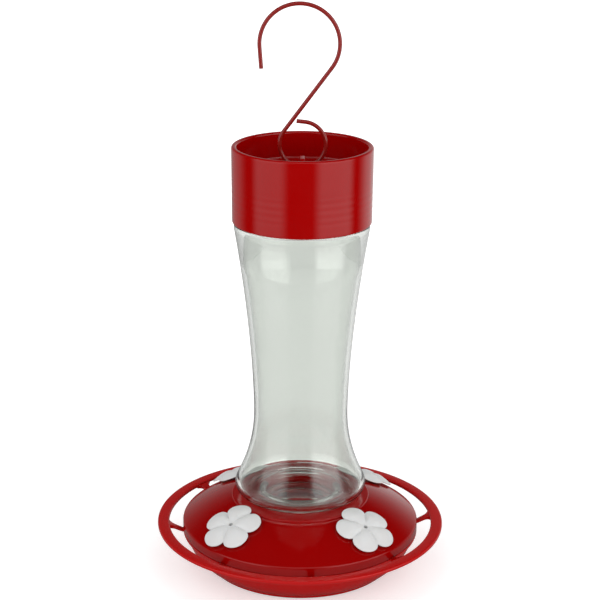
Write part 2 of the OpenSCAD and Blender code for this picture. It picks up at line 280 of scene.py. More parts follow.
class GeometryTree:
    """A geometry node tree with named inputs, which is baked into the mesh of each piece that uses it."""

    # Corners nearer than this, in metres, become one
    WELD = 2e-6

    def __init__(self, name: str) -> None:
        """Starts a tree that takes and gives geometry.

        Args:
            name: Name of the tree.
        """
        self.tree = bpy.data.node_groups.new(name, "GeometryNodeTree")
        self.tree.interface.new_socket("Geometry", in_out="INPUT", socket_type="NodeSocketGeometry")
        self.tree.interface.new_socket("Geometry", in_out="OUTPUT", socket_type="NodeSocketGeometry")
        self.entry = self.tree.nodes.new("NodeGroupInput")
        self.exit = self.tree.nodes.new("NodeGroupOutput")
        self.sockets: dict[str, str] = {}

    def size(self, name: str, kind: str = "NodeSocketFloat") -> bpy.types.NodeSocket:
        """Adds a named input.

        Args:
            name: What the input sizes.
            kind: Its socket type.

        Returns:
            The socket on the tree's entry.
        """
        made = self.tree.interface.new_socket(name, in_out="INPUT", socket_type=kind)
        self.sockets[name] = made.identifier
        return self.entry.outputs[name]

    def add(self, kind: str, links: dict[str, object] | None = None, **settings: object) -> bpy.types.Node:
        """Adds a node; see add_node for the arguments."""
        return add_node(self.tree, kind, links, **settings)

    def end(self, geometry: bpy.types.NodeSocket) -> None:
        """Ends the tree in Realize Instances, with its seams closed, and Set Material.

        Args:
            geometry: The socket that carries the finished shape.
        """
        finish = self.size("Finish", "NodeSocketMaterial")
        real = self.add("GeometryNodeRealizeInstances", {"Geometry": geometry})
        merged = self.add("GeometryNodeMergeByDistance", {"Geometry": real.outputs[0], "Distance": self.WELD})
        dressed = self.add("GeometryNodeSetMaterial", {"Geometry": merged.outputs[0], "Material": finish})
        self.tree.links.new(dressed.outputs[0], self.exit.inputs[0])

    def bake(self, piece: bpy.types.Object, values: dict[str, object]) -> bpy.types.Object:
        """Runs the tree on a piece and keeps the result as its plain mesh.

        Args:
            piece: The object whose mesh enters the tree.
            values: A value for each named input.

        Returns:
            The same object.
        """
        modifier = piece.modifiers.new(self.tree.name, "NODES")
        modifier.node_group = self.tree
        for name, value in values.items():
            modifier[self.sockets[name]] = value
        graph = bpy.context.evaluated_depsgraph_get()
        baked = bpy.data.meshes.new_from_object(piece.evaluated_get(graph), depsgraph=graph)
        piece.modifiers.clear()
        piece.data = baked
        baked.name = piece.name
        return piece


def ring_tree() -> GeometryTree:
    """Makes the tree that repeats a piece evenly round the Z axis.

    Returns:
        The tree.
    """
    made = GeometryTree("repeat_round_axis")
    count = made.size("Count", "NodeSocketInt")
    first = made.size("First turn")
    points = made.add("GeometryNodePoints", {"Count": count})
    index = made.add("GeometryNodeInputIndex")
    step = made.add("ShaderNodeMath", {0: TURN, 1: count}, operation="DIVIDE")
    turn = made.add(
        "ShaderNodeMath", {0: index.outputs[0], 1: step.outputs[0], 2: first}, operation="MULTIPLY_ADD"
    )
    spin = made.add("ShaderNodeCombineXYZ", {"Z": turn.outputs[0]})
    copies = made.add(
        "GeometryNodeInstanceOnPoints",
        {
            "Points": points.outputs[0],
            "Instance": made.entry.outputs["Geometry"],
            "Rotation": spin.outputs[0],
        },
    )
    made.end(copies.outputs[0])
    return made


def wire_tree() -> GeometryTree:
    """Makes the tree that sweeps a round section along the edges of a piece.

    Returns:
        The tree.
    """
    made = GeometryTree("sweep_round_wire")
    radius = made.size("Radius")
    sides = made.size("Sides", "NodeSocketInt")
    curve = made.add("GeometryNodeMeshToCurve", {"Mesh": made.entry.outputs["Geometry"]})
    section = made.add("GeometryNodeCurvePrimitiveCircle", {"Resolution": sides, "Radius": radius})
    swept = made.add(
        "GeometryNodeCurveToMesh",
        {"Curve": curve.outputs[0], "Profile Curve": section.outputs[0], "Fill Caps": True},
    )
    made.end(swept.outputs[0])
    return made


# Materials


def linear(code: str) -> tuple[float, float, float, float]:
    """Turns an sRGB hex colour into a linear one with full alpha."""
    parts = [int(code[i : i + 2], 16) / 255 for i in (1, 3, 5)]
    return (*(p / 12.92 if p <= 0.04045 else ((p + 0.055) / 1.055) ** 2.4 for p in parts), 1.0)


def add_node(
    tree: bpy.types.NodeTree, kind: str, links: dict[str, object] | None = None, **settings: object
) -> bpy.types.Node:
    """Adds a node with its settings and links.

    Args:
        tree: The tree that gets the node.
        kind: The node's type.
        links: Input name or number to a socket, which is linked, or to a value, which is set.
        settings: Attributes of the node.

    Returns:
        The new node.
    """
    node = tree.nodes.new(kind)
    for name, value in settings.items():
        setattr(node, name, value)
    for name, value in (links or {}).items():
        if isinstance(value, bpy.types.NodeSocket):
            tree.links.new(value, node.inputs[name])
        else:
            node.inputs[name].default_value = value
    return node


def blank_material(name: str) -> tuple[bpy.types.Material, bpy.types.NodeTree, bpy.types.Node]:
    """Makes an empty material.

    Args:
        name: Name of the material, for its real finish.

    Returns:
        The material, its tree and its output node.
    """
    material = bpy.data.materials.new(name)
    material.use_nodes = True
    tree = material.node_tree
    tree.nodes.clear()
    return material, tree, tree.nodes.new("ShaderNodeOutputMaterial")


@dataclass(frozen=True)
class MouldedPlastic:
    """Injection moulded plastic: an even colour, a soft gloss and the faint ripple of cooling."""

    name: str
    colour: str
    deep: str
    roughness: float = 0.24
    gloss: float = 0.4
    ior: float = 1.49
    # How much smoother and how much rougher the surface gets from place to place
    uneven: Pair = (-0.02, 0.03)
    cloud_mm: float = 40.0
    ripple_mm: float = 14.0
    ripple_deep_mm: float = 0.3
    ripple_strength: float = 0.15
    # The mould's own grain is finer than the render shows, so it is drawn this coarse
    grain_mm: float = 0.7
    grain_deep_mm: float = 0.03
    grain_strength: float = 0.1
    glow: float = 0.0
    glow_mm: float = 1.5
    glow_reach: tuple[float, float, float] = (1.0, 0.9, 0.8)

    def build(self) -> bpy.types.Material:
        """Makes the material from patterns sized in millimetres of the piece's own coordinates.

        Returns:
            The material.
        """
        material, tree, out = blank_material(self.name)
        place = add_node(tree, "ShaderNodeTexCoord").outputs["Object"]
        cloud, ripple, grain = (
            add_node(tree, "ShaderNodeTexNoise", {"Vector": place, "Scale": 1 / (size * MM), "Detail": fine})
            for size, fine in ((self.cloud_mm, 2.0), (self.ripple_mm, 1.0), (self.grain_mm, 2.0))
        )
        tint = add_node(
            tree,
            "ShaderNodeMix",
            {0: cloud.outputs[0], 6: linear(self.deep), 7: linear(self.colour)},
            data_type="RGBA",
        )
        smoothest, roughest = (self.roughness + part for part in self.uneven)
        rough = add_node(
            tree, "ShaderNodeMapRange", {"Value": ripple.outputs[0], "To Min": smoothest, "To Max": roughest}
        )
        swim = add_node(
            tree,
            "ShaderNodeBump",
            {
                "Height": ripple.outputs[0],
                "Strength": self.ripple_strength,
                "Distance": self.ripple_deep_mm * MM,
            },
        )
        bump = add_node(
            tree,
            "ShaderNodeBump",
            {
                "Height": grain.outputs[0],
                "Strength": self.grain_strength,
                "Distance": self.grain_deep_mm * MM,
                "Normal": swim.outputs[0],
            },
        )
        shader = add_node(
            tree,
            "ShaderNodeBsdfPrincipled",
            {
                "Base Color": tint.outputs[2],
                "Roughness": rough.outputs[0],
                "Normal": bump.outputs[0],
                "IOR": self.ior,
                "Specular IOR Level": self.gloss,
            },
        )
        if self.glow:
            shader.inputs["Subsurface Weight"].default_value = self.glow
            shader.inputs["Subsurface Radius"].default_value = self.glow_reach
            shader.inputs["Subsurface Scale"].default_value = self.glow_mm * MM
        tree.links.new(shader.outputs[0], out.inputs["Surface"])
        return material


@dataclass(frozen=True)
class ClearGlass:
    """Blown soda glass: clear with a pale green cast, its walls a little wavy from the mould."""

    name: str
    tint: str
    shade: str
    ior: float = 1.5
    wave_mm: float = 26.0
    wave_deep_mm: float = 0.6
    wave_strength: float = 0.35
    wave_flat: float = 0.3
    slant: Pair = (0.45, 0.9)
    slant_tint: float = 0.5

    def build(self) -> bpy.types.Material:
        """Makes the material; light on its way to a shadow passes straight through.

        Returns:
            The material.
        """
        material, tree, out = blank_material(self.name)
        place = add_node(tree, "ShaderNodeTexCoord").outputs["Object"]
        # The waves are drawn out along the axis, as the glass was
        tall = add_node(tree, "ShaderNodeMapping", {"Vector": place, "Scale": (1.0, 1.0, self.wave_flat)})
        wave = add_node(
            tree,
            "ShaderNodeTexNoise",
            {"Vector": tall.outputs[0], "Scale": 1 / (self.wave_mm * MM), "Detail": 0.5},
        )
        bump = add_node(
            tree,
            "ShaderNodeBump",
            {"Height": wave.outputs[0], "Strength": self.wave_strength, "Distance": self.wave_deep_mm * MM},
        )
        # Seen at a slant the light runs a longer way inside the wall, which takes more of it
        facing = add_node(tree, "ShaderNodeLayerWeight", {"Blend": 0.5}).outputs["Facing"]
        start, end = self.slant
        depth = add_node(
            tree,
            "ShaderNodeMapRange",
            {"Value": facing, "From Min": start, "From Max": end, "To Min": 1.0, "To Max": self.slant_tint},
            interpolation_type="SMOOTHSTEP",
        )
        tint = add_node(
            tree,
            "ShaderNodeVectorMath",
            {0: linear(self.tint)[:3], "Scale": depth.outputs[0]},
            operation="SCALE",
        )
        glass = add_node(
            tree,
            "ShaderNodeBsdfPrincipled",
            {
                "Base Color": tint.outputs[0],
                "Roughness": 0.0,
                "IOR": self.ior,
                "Transmission Weight": 1.0,
                "Normal": bump.outputs[0],
            },
        )
        clear = add_node(tree, "ShaderNodeBsdfTransparent", {"Color": linear(self.shade)})
        ray = add_node(tree, "ShaderNodeLightPath").outputs
        soft = add_node(
            tree, "ShaderNodeMath", {0: ray["Is Shadow Ray"], 1: ray["Is Diffuse Ray"]}, operation="MAXIMUM"
        )
        mixed = add_node(
            tree, "ShaderNodeMixShader", {0: soft.outputs[0], 1: glass.outputs[0], 2: clear.outputs[0]}
        )
        tree.links.new(mixed.outputs[0], out.inputs["Surface"])
        return material


@dataclass(frozen=True)
class DippedWire:
    """Steel wire with a baked red coat, which lies smooth and shines in a thin line."""

    name: str
    colour: str
    roughness: float = 0.22
    uneven: float = 0.12
    runs_mm: float = 3.0
    runs_deep_mm: float = 0.05
    runs_strength: float = 0.2
    coat: float = 0.4
    coat_roughness: float = 0.12

    def build(self) -> bpy.types.Material:
        """Makes the material with the coat's slight runs along the wire.

        Returns:
            The material.
        """
        material, tree, out = blank_material(self.name)
        place = add_node(tree, "ShaderNodeTexCoord").outputs["Object"]
        runs = add_node(
            tree, "ShaderNodeTexNoise", {"Vector": place, "Scale": 1 / (self.runs_mm * MM), "Detail": 2.0}
        ).outputs[0]
        rough = add_node(
            tree,
            "ShaderNodeMapRange",
            {"Value": runs, "To Min": self.roughness, "To Max": self.roughness + self.uneven},
        )
        bump = add_node(
            tree,
            "ShaderNodeBump",
            {"Height": runs, "Strength": self.runs_strength, "Distance": self.runs_deep_mm * MM},
        )
        shader = add_node(
            tree,
            "ShaderNodeBsdfPrincipled",
            {
                "Base Color": linear(self.colour),
                "Roughness": rough.outputs[0],
                "Normal": bump.outputs[0],
                "Coat Weight": self.coat,
                "Coat Roughness": self.coat_roughness,
            },
        )
        tree.links.new(shader.outputs[0], out.inputs["Surface"])
        return material


@dataclass(frozen=True)
class SoftSilicone:
    """Pressed silicone rubber: matt, milky and slightly let through by light."""

    name: str
    colour: str
    roughness: Pair = (0.5, 0.7)
    dust_mm: float = 0.8
    glow: float = 0.15
    glow_mm: float = 1.0

    def build(self) -> bpy.types.Material:
        """Makes the material with a fine dusty grain.

        Returns:
            The material.
        """
        material, tree, out = blank_material(self.name)
        place = add_node(tree, "ShaderNodeTexCoord").outputs["Object"]
        dust = add_node(
            tree, "ShaderNodeTexNoise", {"Vector": place, "Scale": 1 / (self.dust_mm * MM), "Detail": 3.0}
        )
        smoothest, roughest = self.roughness
        rough = add_node(
            tree, "ShaderNodeMapRange", {"Value": dust.outputs[0], "To Min": smoothest, "To Max": roughest}
        )
        shader = add_node(
            tree,
            "ShaderNodeBsdfPrincipled",
            {
                "Base Color": linear(self.colour),
                "Roughness": rough.outputs[0],
                "Subsurface Weight": self.glow,
                "Subsurface Scale": self.glow_mm * MM,
            },
        )
        tree.links.new(shader.outputs[0], out.inputs["Surface"])
        return material


@dataclass
class Finishes:
    """Every material of the feeder, made once."""

    # Polypropylene with a deep red pigment; the dish's red is brighter than the rest, its own tone lifted
    # with painted light for the lit top of its perch ring, and it is duller in its gloss
    dish: bpy.types.Material = field(
        default_factory=MouldedPlastic(
            "polypropylene_red_dish", colour="#ba0403", deep="#b20302", roughness=0.24, gloss=0.4
        ).build
    )
    # The cover and the cap come from polished moulds, so they mirror the soft boxes clearly
    cover: bpy.types.Material = field(
        default_factory=MouldedPlastic(
            "polypropylene_red_cover", colour="#960101", deep="#8f0101", roughness=0.11, gloss=0.45
        ).build
    )
    cap: bpy.types.Material = field(
        default_factory=MouldedPlastic(
            "polypropylene_red_cap", colour="#a00101", deep="#990101", roughness=0.11, gloss=0.5
        ).build
    )
    # Low density polyethylene, milky white, which softens the shadows between the petals
    petals: bpy.types.Material = field(
        default_factory=MouldedPlastic(
            "polyethylene_white_petals",
            colour="#dedede",
            deep="#d9dad9",
            roughness=0.38,
            gloss=0.4,
            ripple_mm=9.0,
            grain_mm=0.6,
            glow=0.25,
        ).build
    )
    # Soda glass, clear in the middle and greyer towards its edges, where it is seen at a slant
    glass: bpy.types.Material = field(
        default_factory=ClearGlass("soda_glass_clear", tint="#e1e4e0", shade="#f9fbf9").build
    )
    # Enamelled steel wire, whose coat gives a thin bright line along each bend
    wire: bpy.types.Material = field(default_factory=DippedWire("enamelled_wire_red", colour="#86120c").build)
    # Silicone without pigment, a pale ring behind the glass
    seal: bpy.types.Material = field(default_factory=SoftSilicone("silicone_pale", colour="#d9d6cc").build)


def dress(piece: bpy.types.Object, finish: bpy.types.Material, body: str, slot: str, *nodes: str) -> None:
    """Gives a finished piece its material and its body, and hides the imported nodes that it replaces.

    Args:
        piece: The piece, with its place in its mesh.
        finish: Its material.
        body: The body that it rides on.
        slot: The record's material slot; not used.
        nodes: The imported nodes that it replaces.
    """
    piece.data.materials.clear()
    piece.data.materials.append(finish)
    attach(piece, body)
    if nodes:
        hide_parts(*nodes)
    LOG.info("%s: %d faces on %s", piece.name, len(piece.data.polygons), body)


# Sub-assemblies


@dataclass
class Levels:
    """Heights that the pieces share, from the standing plane up."""

    # The dish: the top of its shelf and of its perch ring
    shelf: float = 21.6
    ring: float = 26.7
    # The cover: its foot, its dome's edge, its raised land, and the seat under the bottle's neck
    skirt: float = 21.9
    edge: float = 27.9
    land: float = 43.1
    seat: float = 26.7
    # The bottle: its lip, its body's underside, waist and top, and its mouth
    lip: float = 28.5
    under: float = 44.6
    waist: float = 97.7
    top: float = 212.1
    mouth: float = 239.6
    # The cap: its foot, the roof over the mouth, the floor of its cup, its rim, and the eye in its tab
    cap_low: float = 215.6
    cap_roof: float = 241.6
    cup_floor: float = 243.6
    rim: float = 260.4
    eye: float = 247.8


@dataclass
class Dish:
    """The lower dish: bowl, standing ring, shelf, lip, spokes and perch ring, moulded in one."""

    at: Levels
    foot_r: float = 57.5
    foot_w: float = 6.0
    foot_soft: float = 0.6
    foot_round: float = 1.7
    recess: float = 1.5
    recess_slope: float = 0.8
    wall: float = 2.2
    swell: float = 2.4
    inner_swell: float = 1.92
    # Points of the soft corner inside, as steps in from the foot and up from the floor
    cove: tuple[Point, ...] = ((3.4, 1.6), (5.6, 0.35), (8.0, 0.0))
    cover_r: float = 72.0
    shelf_w: float = 2.0
    shelf_edge: float = 1.6
    lip_r: float = 69.7
    lip_h: float = 4.5
    lip_deep: float = 3.2
    perch_out: float = 87.5
    perch_in: float = 80.5
    perch_t: float = 2.4
    perch_round: float = 0.9
    spoke_count: int = 8
    spoke_turn: float = 5.5
    spoke_w: float = 4.6
    spoke_flare: float = 3.6
    # How far a spoke runs under the shelf and into the ring, and stays level before it climbs
    spoke_in: float = 1.5
    spoke_out: float = 2.5
    spoke_level: float = 0.6
    # How far its underside and its top lie below the shelf, and at its tip below the ring's top
    spoke_root: Pair = (1.85, 0.25)
    spoke_tip: Pair = (3.6, 1.2)
    # Power of the section's outline, from 1 for round towards 0 for square
    spoke_square: float = 0.45
    segments: int = 216

    def shell(self) -> bpy.types.Object:
        """Makes the bowl with its standing ring, shelf and lip.

        Returns:
            The shell.
        """
        shelf, shelf_in = self.at.shelf, self.cover_r - self.shelf_w
        lip_in, lip_top, lip_low = self.lip_r - self.wall, shelf + self.lip_h, shelf - self.lip_deep
        foot_in, floor = self.foot_r - self.foot_w, self.recess + self.wall
        side = swell((self.foot_r, self.foot_round), (shelf_in, shelf - self.wall), -self.swell, 20)
        cove = [(self.foot_r - step, floor + up) for step, up in self.cove]
        inside = swell((lip_in, lip_low), cove[0], self.inner_swell, 16)
        tail = rounded(
            [
                (shelf_in, shelf - self.wall, 0),
                (self.cover_r, shelf - self.shelf_edge, 0.4),
                (self.cover_r, shelf, 0.5),
                (self.lip_r, shelf, 0.2),
                (self.lip_r, lip_top, 0.6),
                (lip_in, lip_top, 0.5),
                (lip_in, lip_low, 0),
            ]
        )
        profile = [(0, self.recess), (foot_in - self.recess_slope, self.recess)]
        profile += arc((foot_in + self.foot_soft, self.foot_soft), self.foot_soft, 180, 270, 4)
        profile += arc((self.foot_r - self.foot_round, self.foot_round), self.foot_round, -90, 0, 6)
        profile += side[1:-1] + tail + inside[1:] + cove[1:] + [(0, floor)]
        return lathe("base_bowl_shell", profile, self.segments)

    def ring(self) -> bpy.types.Object:
        """Makes the perch ring, whose edges are rounded for a bird's claws.

        Returns:
            The ring.
        """
        low, high = self.at.ring - self.perch_t, self.at.ring
        corners = ((self.perch_out, low), (self.perch_out, high), (self.perch_in, high), (self.perch_in, low))
        outline = rounded([(r, z, self.perch_round) for r, z in corners], 6)
        return lathe("base_bowl_perch", outline, self.segments)

    def spoke(self) -> bpy.types.Object:
        """Makes one spoke along +X, which flares where it runs into the ring.

        Returns:
            The spoke, to be repeated round the axis.
        """
        steps, sides = 24, 20
        root, tip = self.cover_r - self.spoke_in, self.perch_in + self.spoke_out
        start, knee = self.cover_r + self.spoke_level, self.perch_in - self.spoke_flare
        bm = bmesh.new()
        rings = []
        for i in range(steps + 1):
            x = root + (tip - root) * i / steps
            flare = min(1.0, max(0.0, (x - knee) / self.spoke_flare))
            half = self.spoke_w / 2 + self.spoke_flare * (1 - math.sqrt(1 - flare * flare))
            climb = min(1.0, max(0.0, (x - start) / (self.perch_in - start)))
            low, high = (
                (self.at.shelf - down) * (1 - climb) + (self.at.ring - deep) * climb
                for down, deep in zip(self.spoke_root, self.spoke_tip)
            )
            ring = []
            for k in range(sides):
                c, s = math.cos(TURN * k / sides), math.sin(TURN * k / sides)
                y = half * math.copysign(abs(c) ** self.spoke_square, c)
                z = (low + high) / 2 + (high - low) / 2 * math.copysign(abs(s) ** self.spoke_square, s)
                ring.append(bm.verts.new((x * MM, y * MM, z * MM)))
            rings.append(ring)
        for ring, after in zip(rings, rings[1:]):
            for k in range(sides):
                n = (k + 1) % sides
                bm.faces.new((ring[k], ring[n], after[n], after[k]))
        bm.faces.new(rings[0])
        bm.faces.new(rings[-1])
        return finish_mesh("base_bowl_spokes", bm, 50)

    def build(self, finishes: Finishes, repeat: GeometryTree) -> None:
        """Makes the dish and dresses it.

        Args:
            finishes: The materials.
            repeat: The tree that repeats the spoke round the axis.
        """
        spokes = repeat.bake(
            self.spoke(),
            {"Count": self.spoke_count, "First turn": math.radians(self.spoke_turn), "Finish": finishes.dish},
        )
        for piece in (self.shell(), self.ring(), spokes):
            dress(piece, finishes.dish, Body.DISH.value, "red_bowl", "base_bowl")


@dataclass
class Ports:
    """Where the flower ports stand on the dome."""

    radius: float = 55.5
    height: float = 36.697
    tilt: float = 24.474
    first: float = 43.5
    count: int = 4
    turns: tuple[float, ...] = (-8.0, 0.0, 22.0, -5.0)
    hole: float = 3.6

    def place(self, k: int) -> Matrix:
        """Gives the frame of a port in metres, with +Z out of the dome.

        Args:
            k: Number of the port, from 0.

        Returns:
            The frame as a matrix.
        """
        turn = Matrix.Rotation(math.radians(self.first) + TURN * k / self.count, 4, "Z")
        out = Matrix.Translation((self.radius * MM, 0, self.height * MM))
        return turn @ out @ Matrix.Rotation(math.radians(self.tilt), 4, "Y")


@dataclass
class Cover:
    """The domed cover: skirt, land, threaded collar with windows, boss and port guides."""

    at: Levels
    ports: Ports
    thread: Thread
    radius: float = 72.0
    wall: float = 2.0
    inset: float = 0.75
    skirt_deep: float = 1.6
    land_r: float = 42.0
    land_step: float = 1.3
    land_round: float = 0.6
    bulge: float = 1.2
    collar_in: float = 24.6
    collar_out: float = 27.4
    collar_round: float = 0.7
    collar_chamfer: float = 0.4
    boss_r: float = 12.0
    boss_h: float = 7.4
    boss_round: float = 2.5
    boss_chamfer: float = 0.5
    # Spacing of the rows of points on the skirt, on the land, and on the collar, where the groove needs more
    skirt_row: float = 1.6
    land_row: float = 2.4
    collar_row: float = 0.4
    window_w: float = 8.0
    window_h: float = 5.0
    window_up: float = 0.6
    windows: int = 6
    # The guides' play round the stem, their wall beyond the hole, and their ends below the dome
    guide_play: float = 0.04
    guide_wall: float = 1.6
    guide_ends: Pair = (-5.0, -1.2)
    guide_segments: int = 64
    segments: int = 288

    def profile(self) -> list[Point]:
        """Gives the outline of the turned shell, skirt first and then up over the dome.

        Returns:
            The points in order round the outline.
        """
        at, wall = self.at, self.wall
        skirt_in, boss_in = self.radius - wall, self.boss_r - wall
        top, seat_low = at.seat + self.boss_h, at.seat - wall
        dome = swell(
            (self.radius - self.inset, at.edge), (self.land_r, at.land - self.land_step), -self.bulge, 26
        )
        turn = 90 - math.degrees(math.atan2(dome[1][1] - dome[0][1], dome[0][0] - dome[1][0]))
        edge_r = self.inset / (1 - math.cos(math.radians(turn)))
        centre = (self.radius - edge_r, at.edge - edge_r * math.sin(math.radians(turn)))
        points = rounded(
            [
                (skirt_in, at.skirt, 0.3),
                (self.radius, at.skirt, 0.4),
                (self.radius, centre[1], 0),
                (skirt_in, centre[1], 0),
            ],
            3,
        )[:-2]
        points += [(self.radius, z) for z in heights(at.skirt + 1, centre[1], self.skirt_row)[:-1]]
        points += arc(centre, edge_r, 0, turn, 6) + dome[1:]
        soft = self.land_round
        points += arc((self.land_r - soft, at.land - soft), soft, 0, 90, 5)
        soft = self.collar_round
        points += [(r, at.land) for r in heights(self.land_r - 2, self.collar_in + 2 * soft, self.land_row)]
        points += arc((self.collar_in + soft, at.land - soft), soft, 90, 180, 4)
        cut = self.collar_chamfer
        points += [(self.collar_in, z) for z in self.collar_rows(at.land - 1.0, at.seat + cut)]
        points += [(self.collar_in - cut, at.seat), (self.boss_r + self.boss_chamfer, at.seat)]
        soft = self.boss_round
        points += [(self.boss_r, at.seat + self.boss_chamfer), (self.boss_r, top - soft)]
        points += arc((self.boss_r - soft, top - soft), soft, 0, 90, 8)[1:]
        points += [(0, top), (0, top - wall), (boss_in, top - wall), (boss_in, seat_low)]
        points += [(self.collar_out - cut, seat_low)]
        points += [(self.collar_out, z) for z in self.collar_rows(seat_low + cut, at.land - wall)]
        under, low = (self.land_r - 1, at.land - wall), (skirt_in, at.edge - self.skirt_deep)
        return points + swell(under, low, self.bulge, 22)

    def window_levels(self) -> Pair:
        """Gives the heights of the windows' lower and upper edges."""
        low = self.at.lip + self.window_up
        return low, low + self.window_h

    def collar_rows(self, start: float, end: float) -> list[float]:
        """Gives the heights of the collar's rows, with one on each edge of the windows.

        Args:
            start: First height.
            end: Last height, above or below the first.

        Returns:
            The heights in order.
        """
        fixed = sorted({start, end, *self.window_levels()}, reverse=start > end)
        rows: list[float] = []
        for a, b in zip(fixed, fixed[1:]):
            rows += heights(a, b, self.collar_row)[:-1]
        return rows + [end]

    def groove(self, r: float, z: float, angle: float) -> float:
        """Sinks the thread's groove into the collar's inner wall and out through its rounded edge."""
        over = r - self.collar_in
        return max(0.0, self.thread.rise(z, angle) - over) if -NEAR < over < self.collar_round + NEAR else 0.0

    def cut_windows(self, bm: bmesh.types.BMesh) -> None:
        """Opens the windows through the collar and walls their edges.

        Args:
            bm: The turned shell, which changes.
        """
        low, high = (level * MM for level in self.window_levels())
        inmost, outmost = (self.collar_in - 0.1) * MM, (self.collar_out + 0.1) * MM
        half = math.asin(self.window_w / 2 / self.collar_out)
        pitch = TURN / self.windows
        for face in list(bm.faces):
            c = face.calc_center_median()
            off = (math.atan2(c.y, c.x) + pitch / 2) % pitch - pitch / 2
            if inmost < math.hypot(c.x, c.y) < outmost and low < c.z < high and abs(off) < half:
                bm.faces.remove(face)
        for k in range(self.windows):
            turn = Matrix.Rotation(-k * pitch, 3, "Z")
            edges = []
            for edge in [e for e in bm.edges if e.is_boundary]:
                spot = turn @ ((edge.verts[0].co + edge.verts[1].co) / 2)
                if low - MM < spot.z < high + MM and abs(math.atan2(spot.y, spot.x)) < half * 1.2:
                    edges.append(edge)
            bmesh.ops.bridge_loops(bm, edges=edges)

    def cut_ports(self, bm: bmesh.types.BMesh) -> None:
        """Opens the round holes for the stems through the dome and walls their edges.

        Args:
            bm: The turned shell, which changes.
        """
        hole, near = self.ports.hole * MM, 4 * MM
        for k in range(self.ports.count):
            back = self.ports.place(k)
            into = back.inverted()
            for face in list(bm.faces):
                spot = into @ face.calc_center_median()
                if abs(spot.z) < near and math.hypot(spot.x, spot.y) < hole:
                    bm.faces.remove(face)
            rim = [e for e in bm.edges if e.is_boundary and (into @ e.verts[0].co).length < 3 * hole]
            for vert in {v for e in rim for v in e.verts}:
                spot = into @ vert.co
                scale = hole / math.hypot(spot.x, spot.y)
                vert.co = back @ Vector((spot.x * scale, spot.y * scale, spot.z))
            bmesh.ops.bridge_loops(bm, edges=rim)
        loose = [v for v in bm.verts if not v.link_faces]
        bmesh.ops.delete(bm, geom=loose, context="VERTS")

    def guide(self, k: int) -> bpy.types.Object:
        """Makes the short tube under the dome that guides a flower's stem.

        Args:
            k: Number of the port, from 0.

        Returns:
            The tube.
        """
        hole, out = self.ports.hole + self.guide_play, self.ports.hole + self.guide_wall
        low, high = self.guide_ends
        tube = rounded([(out, low, 0.3), (out, high, 0), (hole, high, 0), (hole, low, 0.4)], 3)
        bm = lathe_faces(tube, self.guide_segments)
        bm.transform(self.ports.place(k))
        return finish_mesh(f"base_cover_guide_{k + 1}", bm)

    def build(self, finishes: Finishes) -> None:
        """Makes the cover and dresses it.

        Args:
            finishes: The materials.
        """
        bm = lathe_faces(self.profile(), self.segments, self.groove)
        self.cut_windows(bm)
        self.cut_ports(bm)
        guides = (self.guide(k) for k in range(self.ports.count))
        for piece in (finish_mesh("base_cover_shell", bm), *guides):
            dress(piece, finishes.cover, Body.COVER.value, "red_cover", "base_cover")


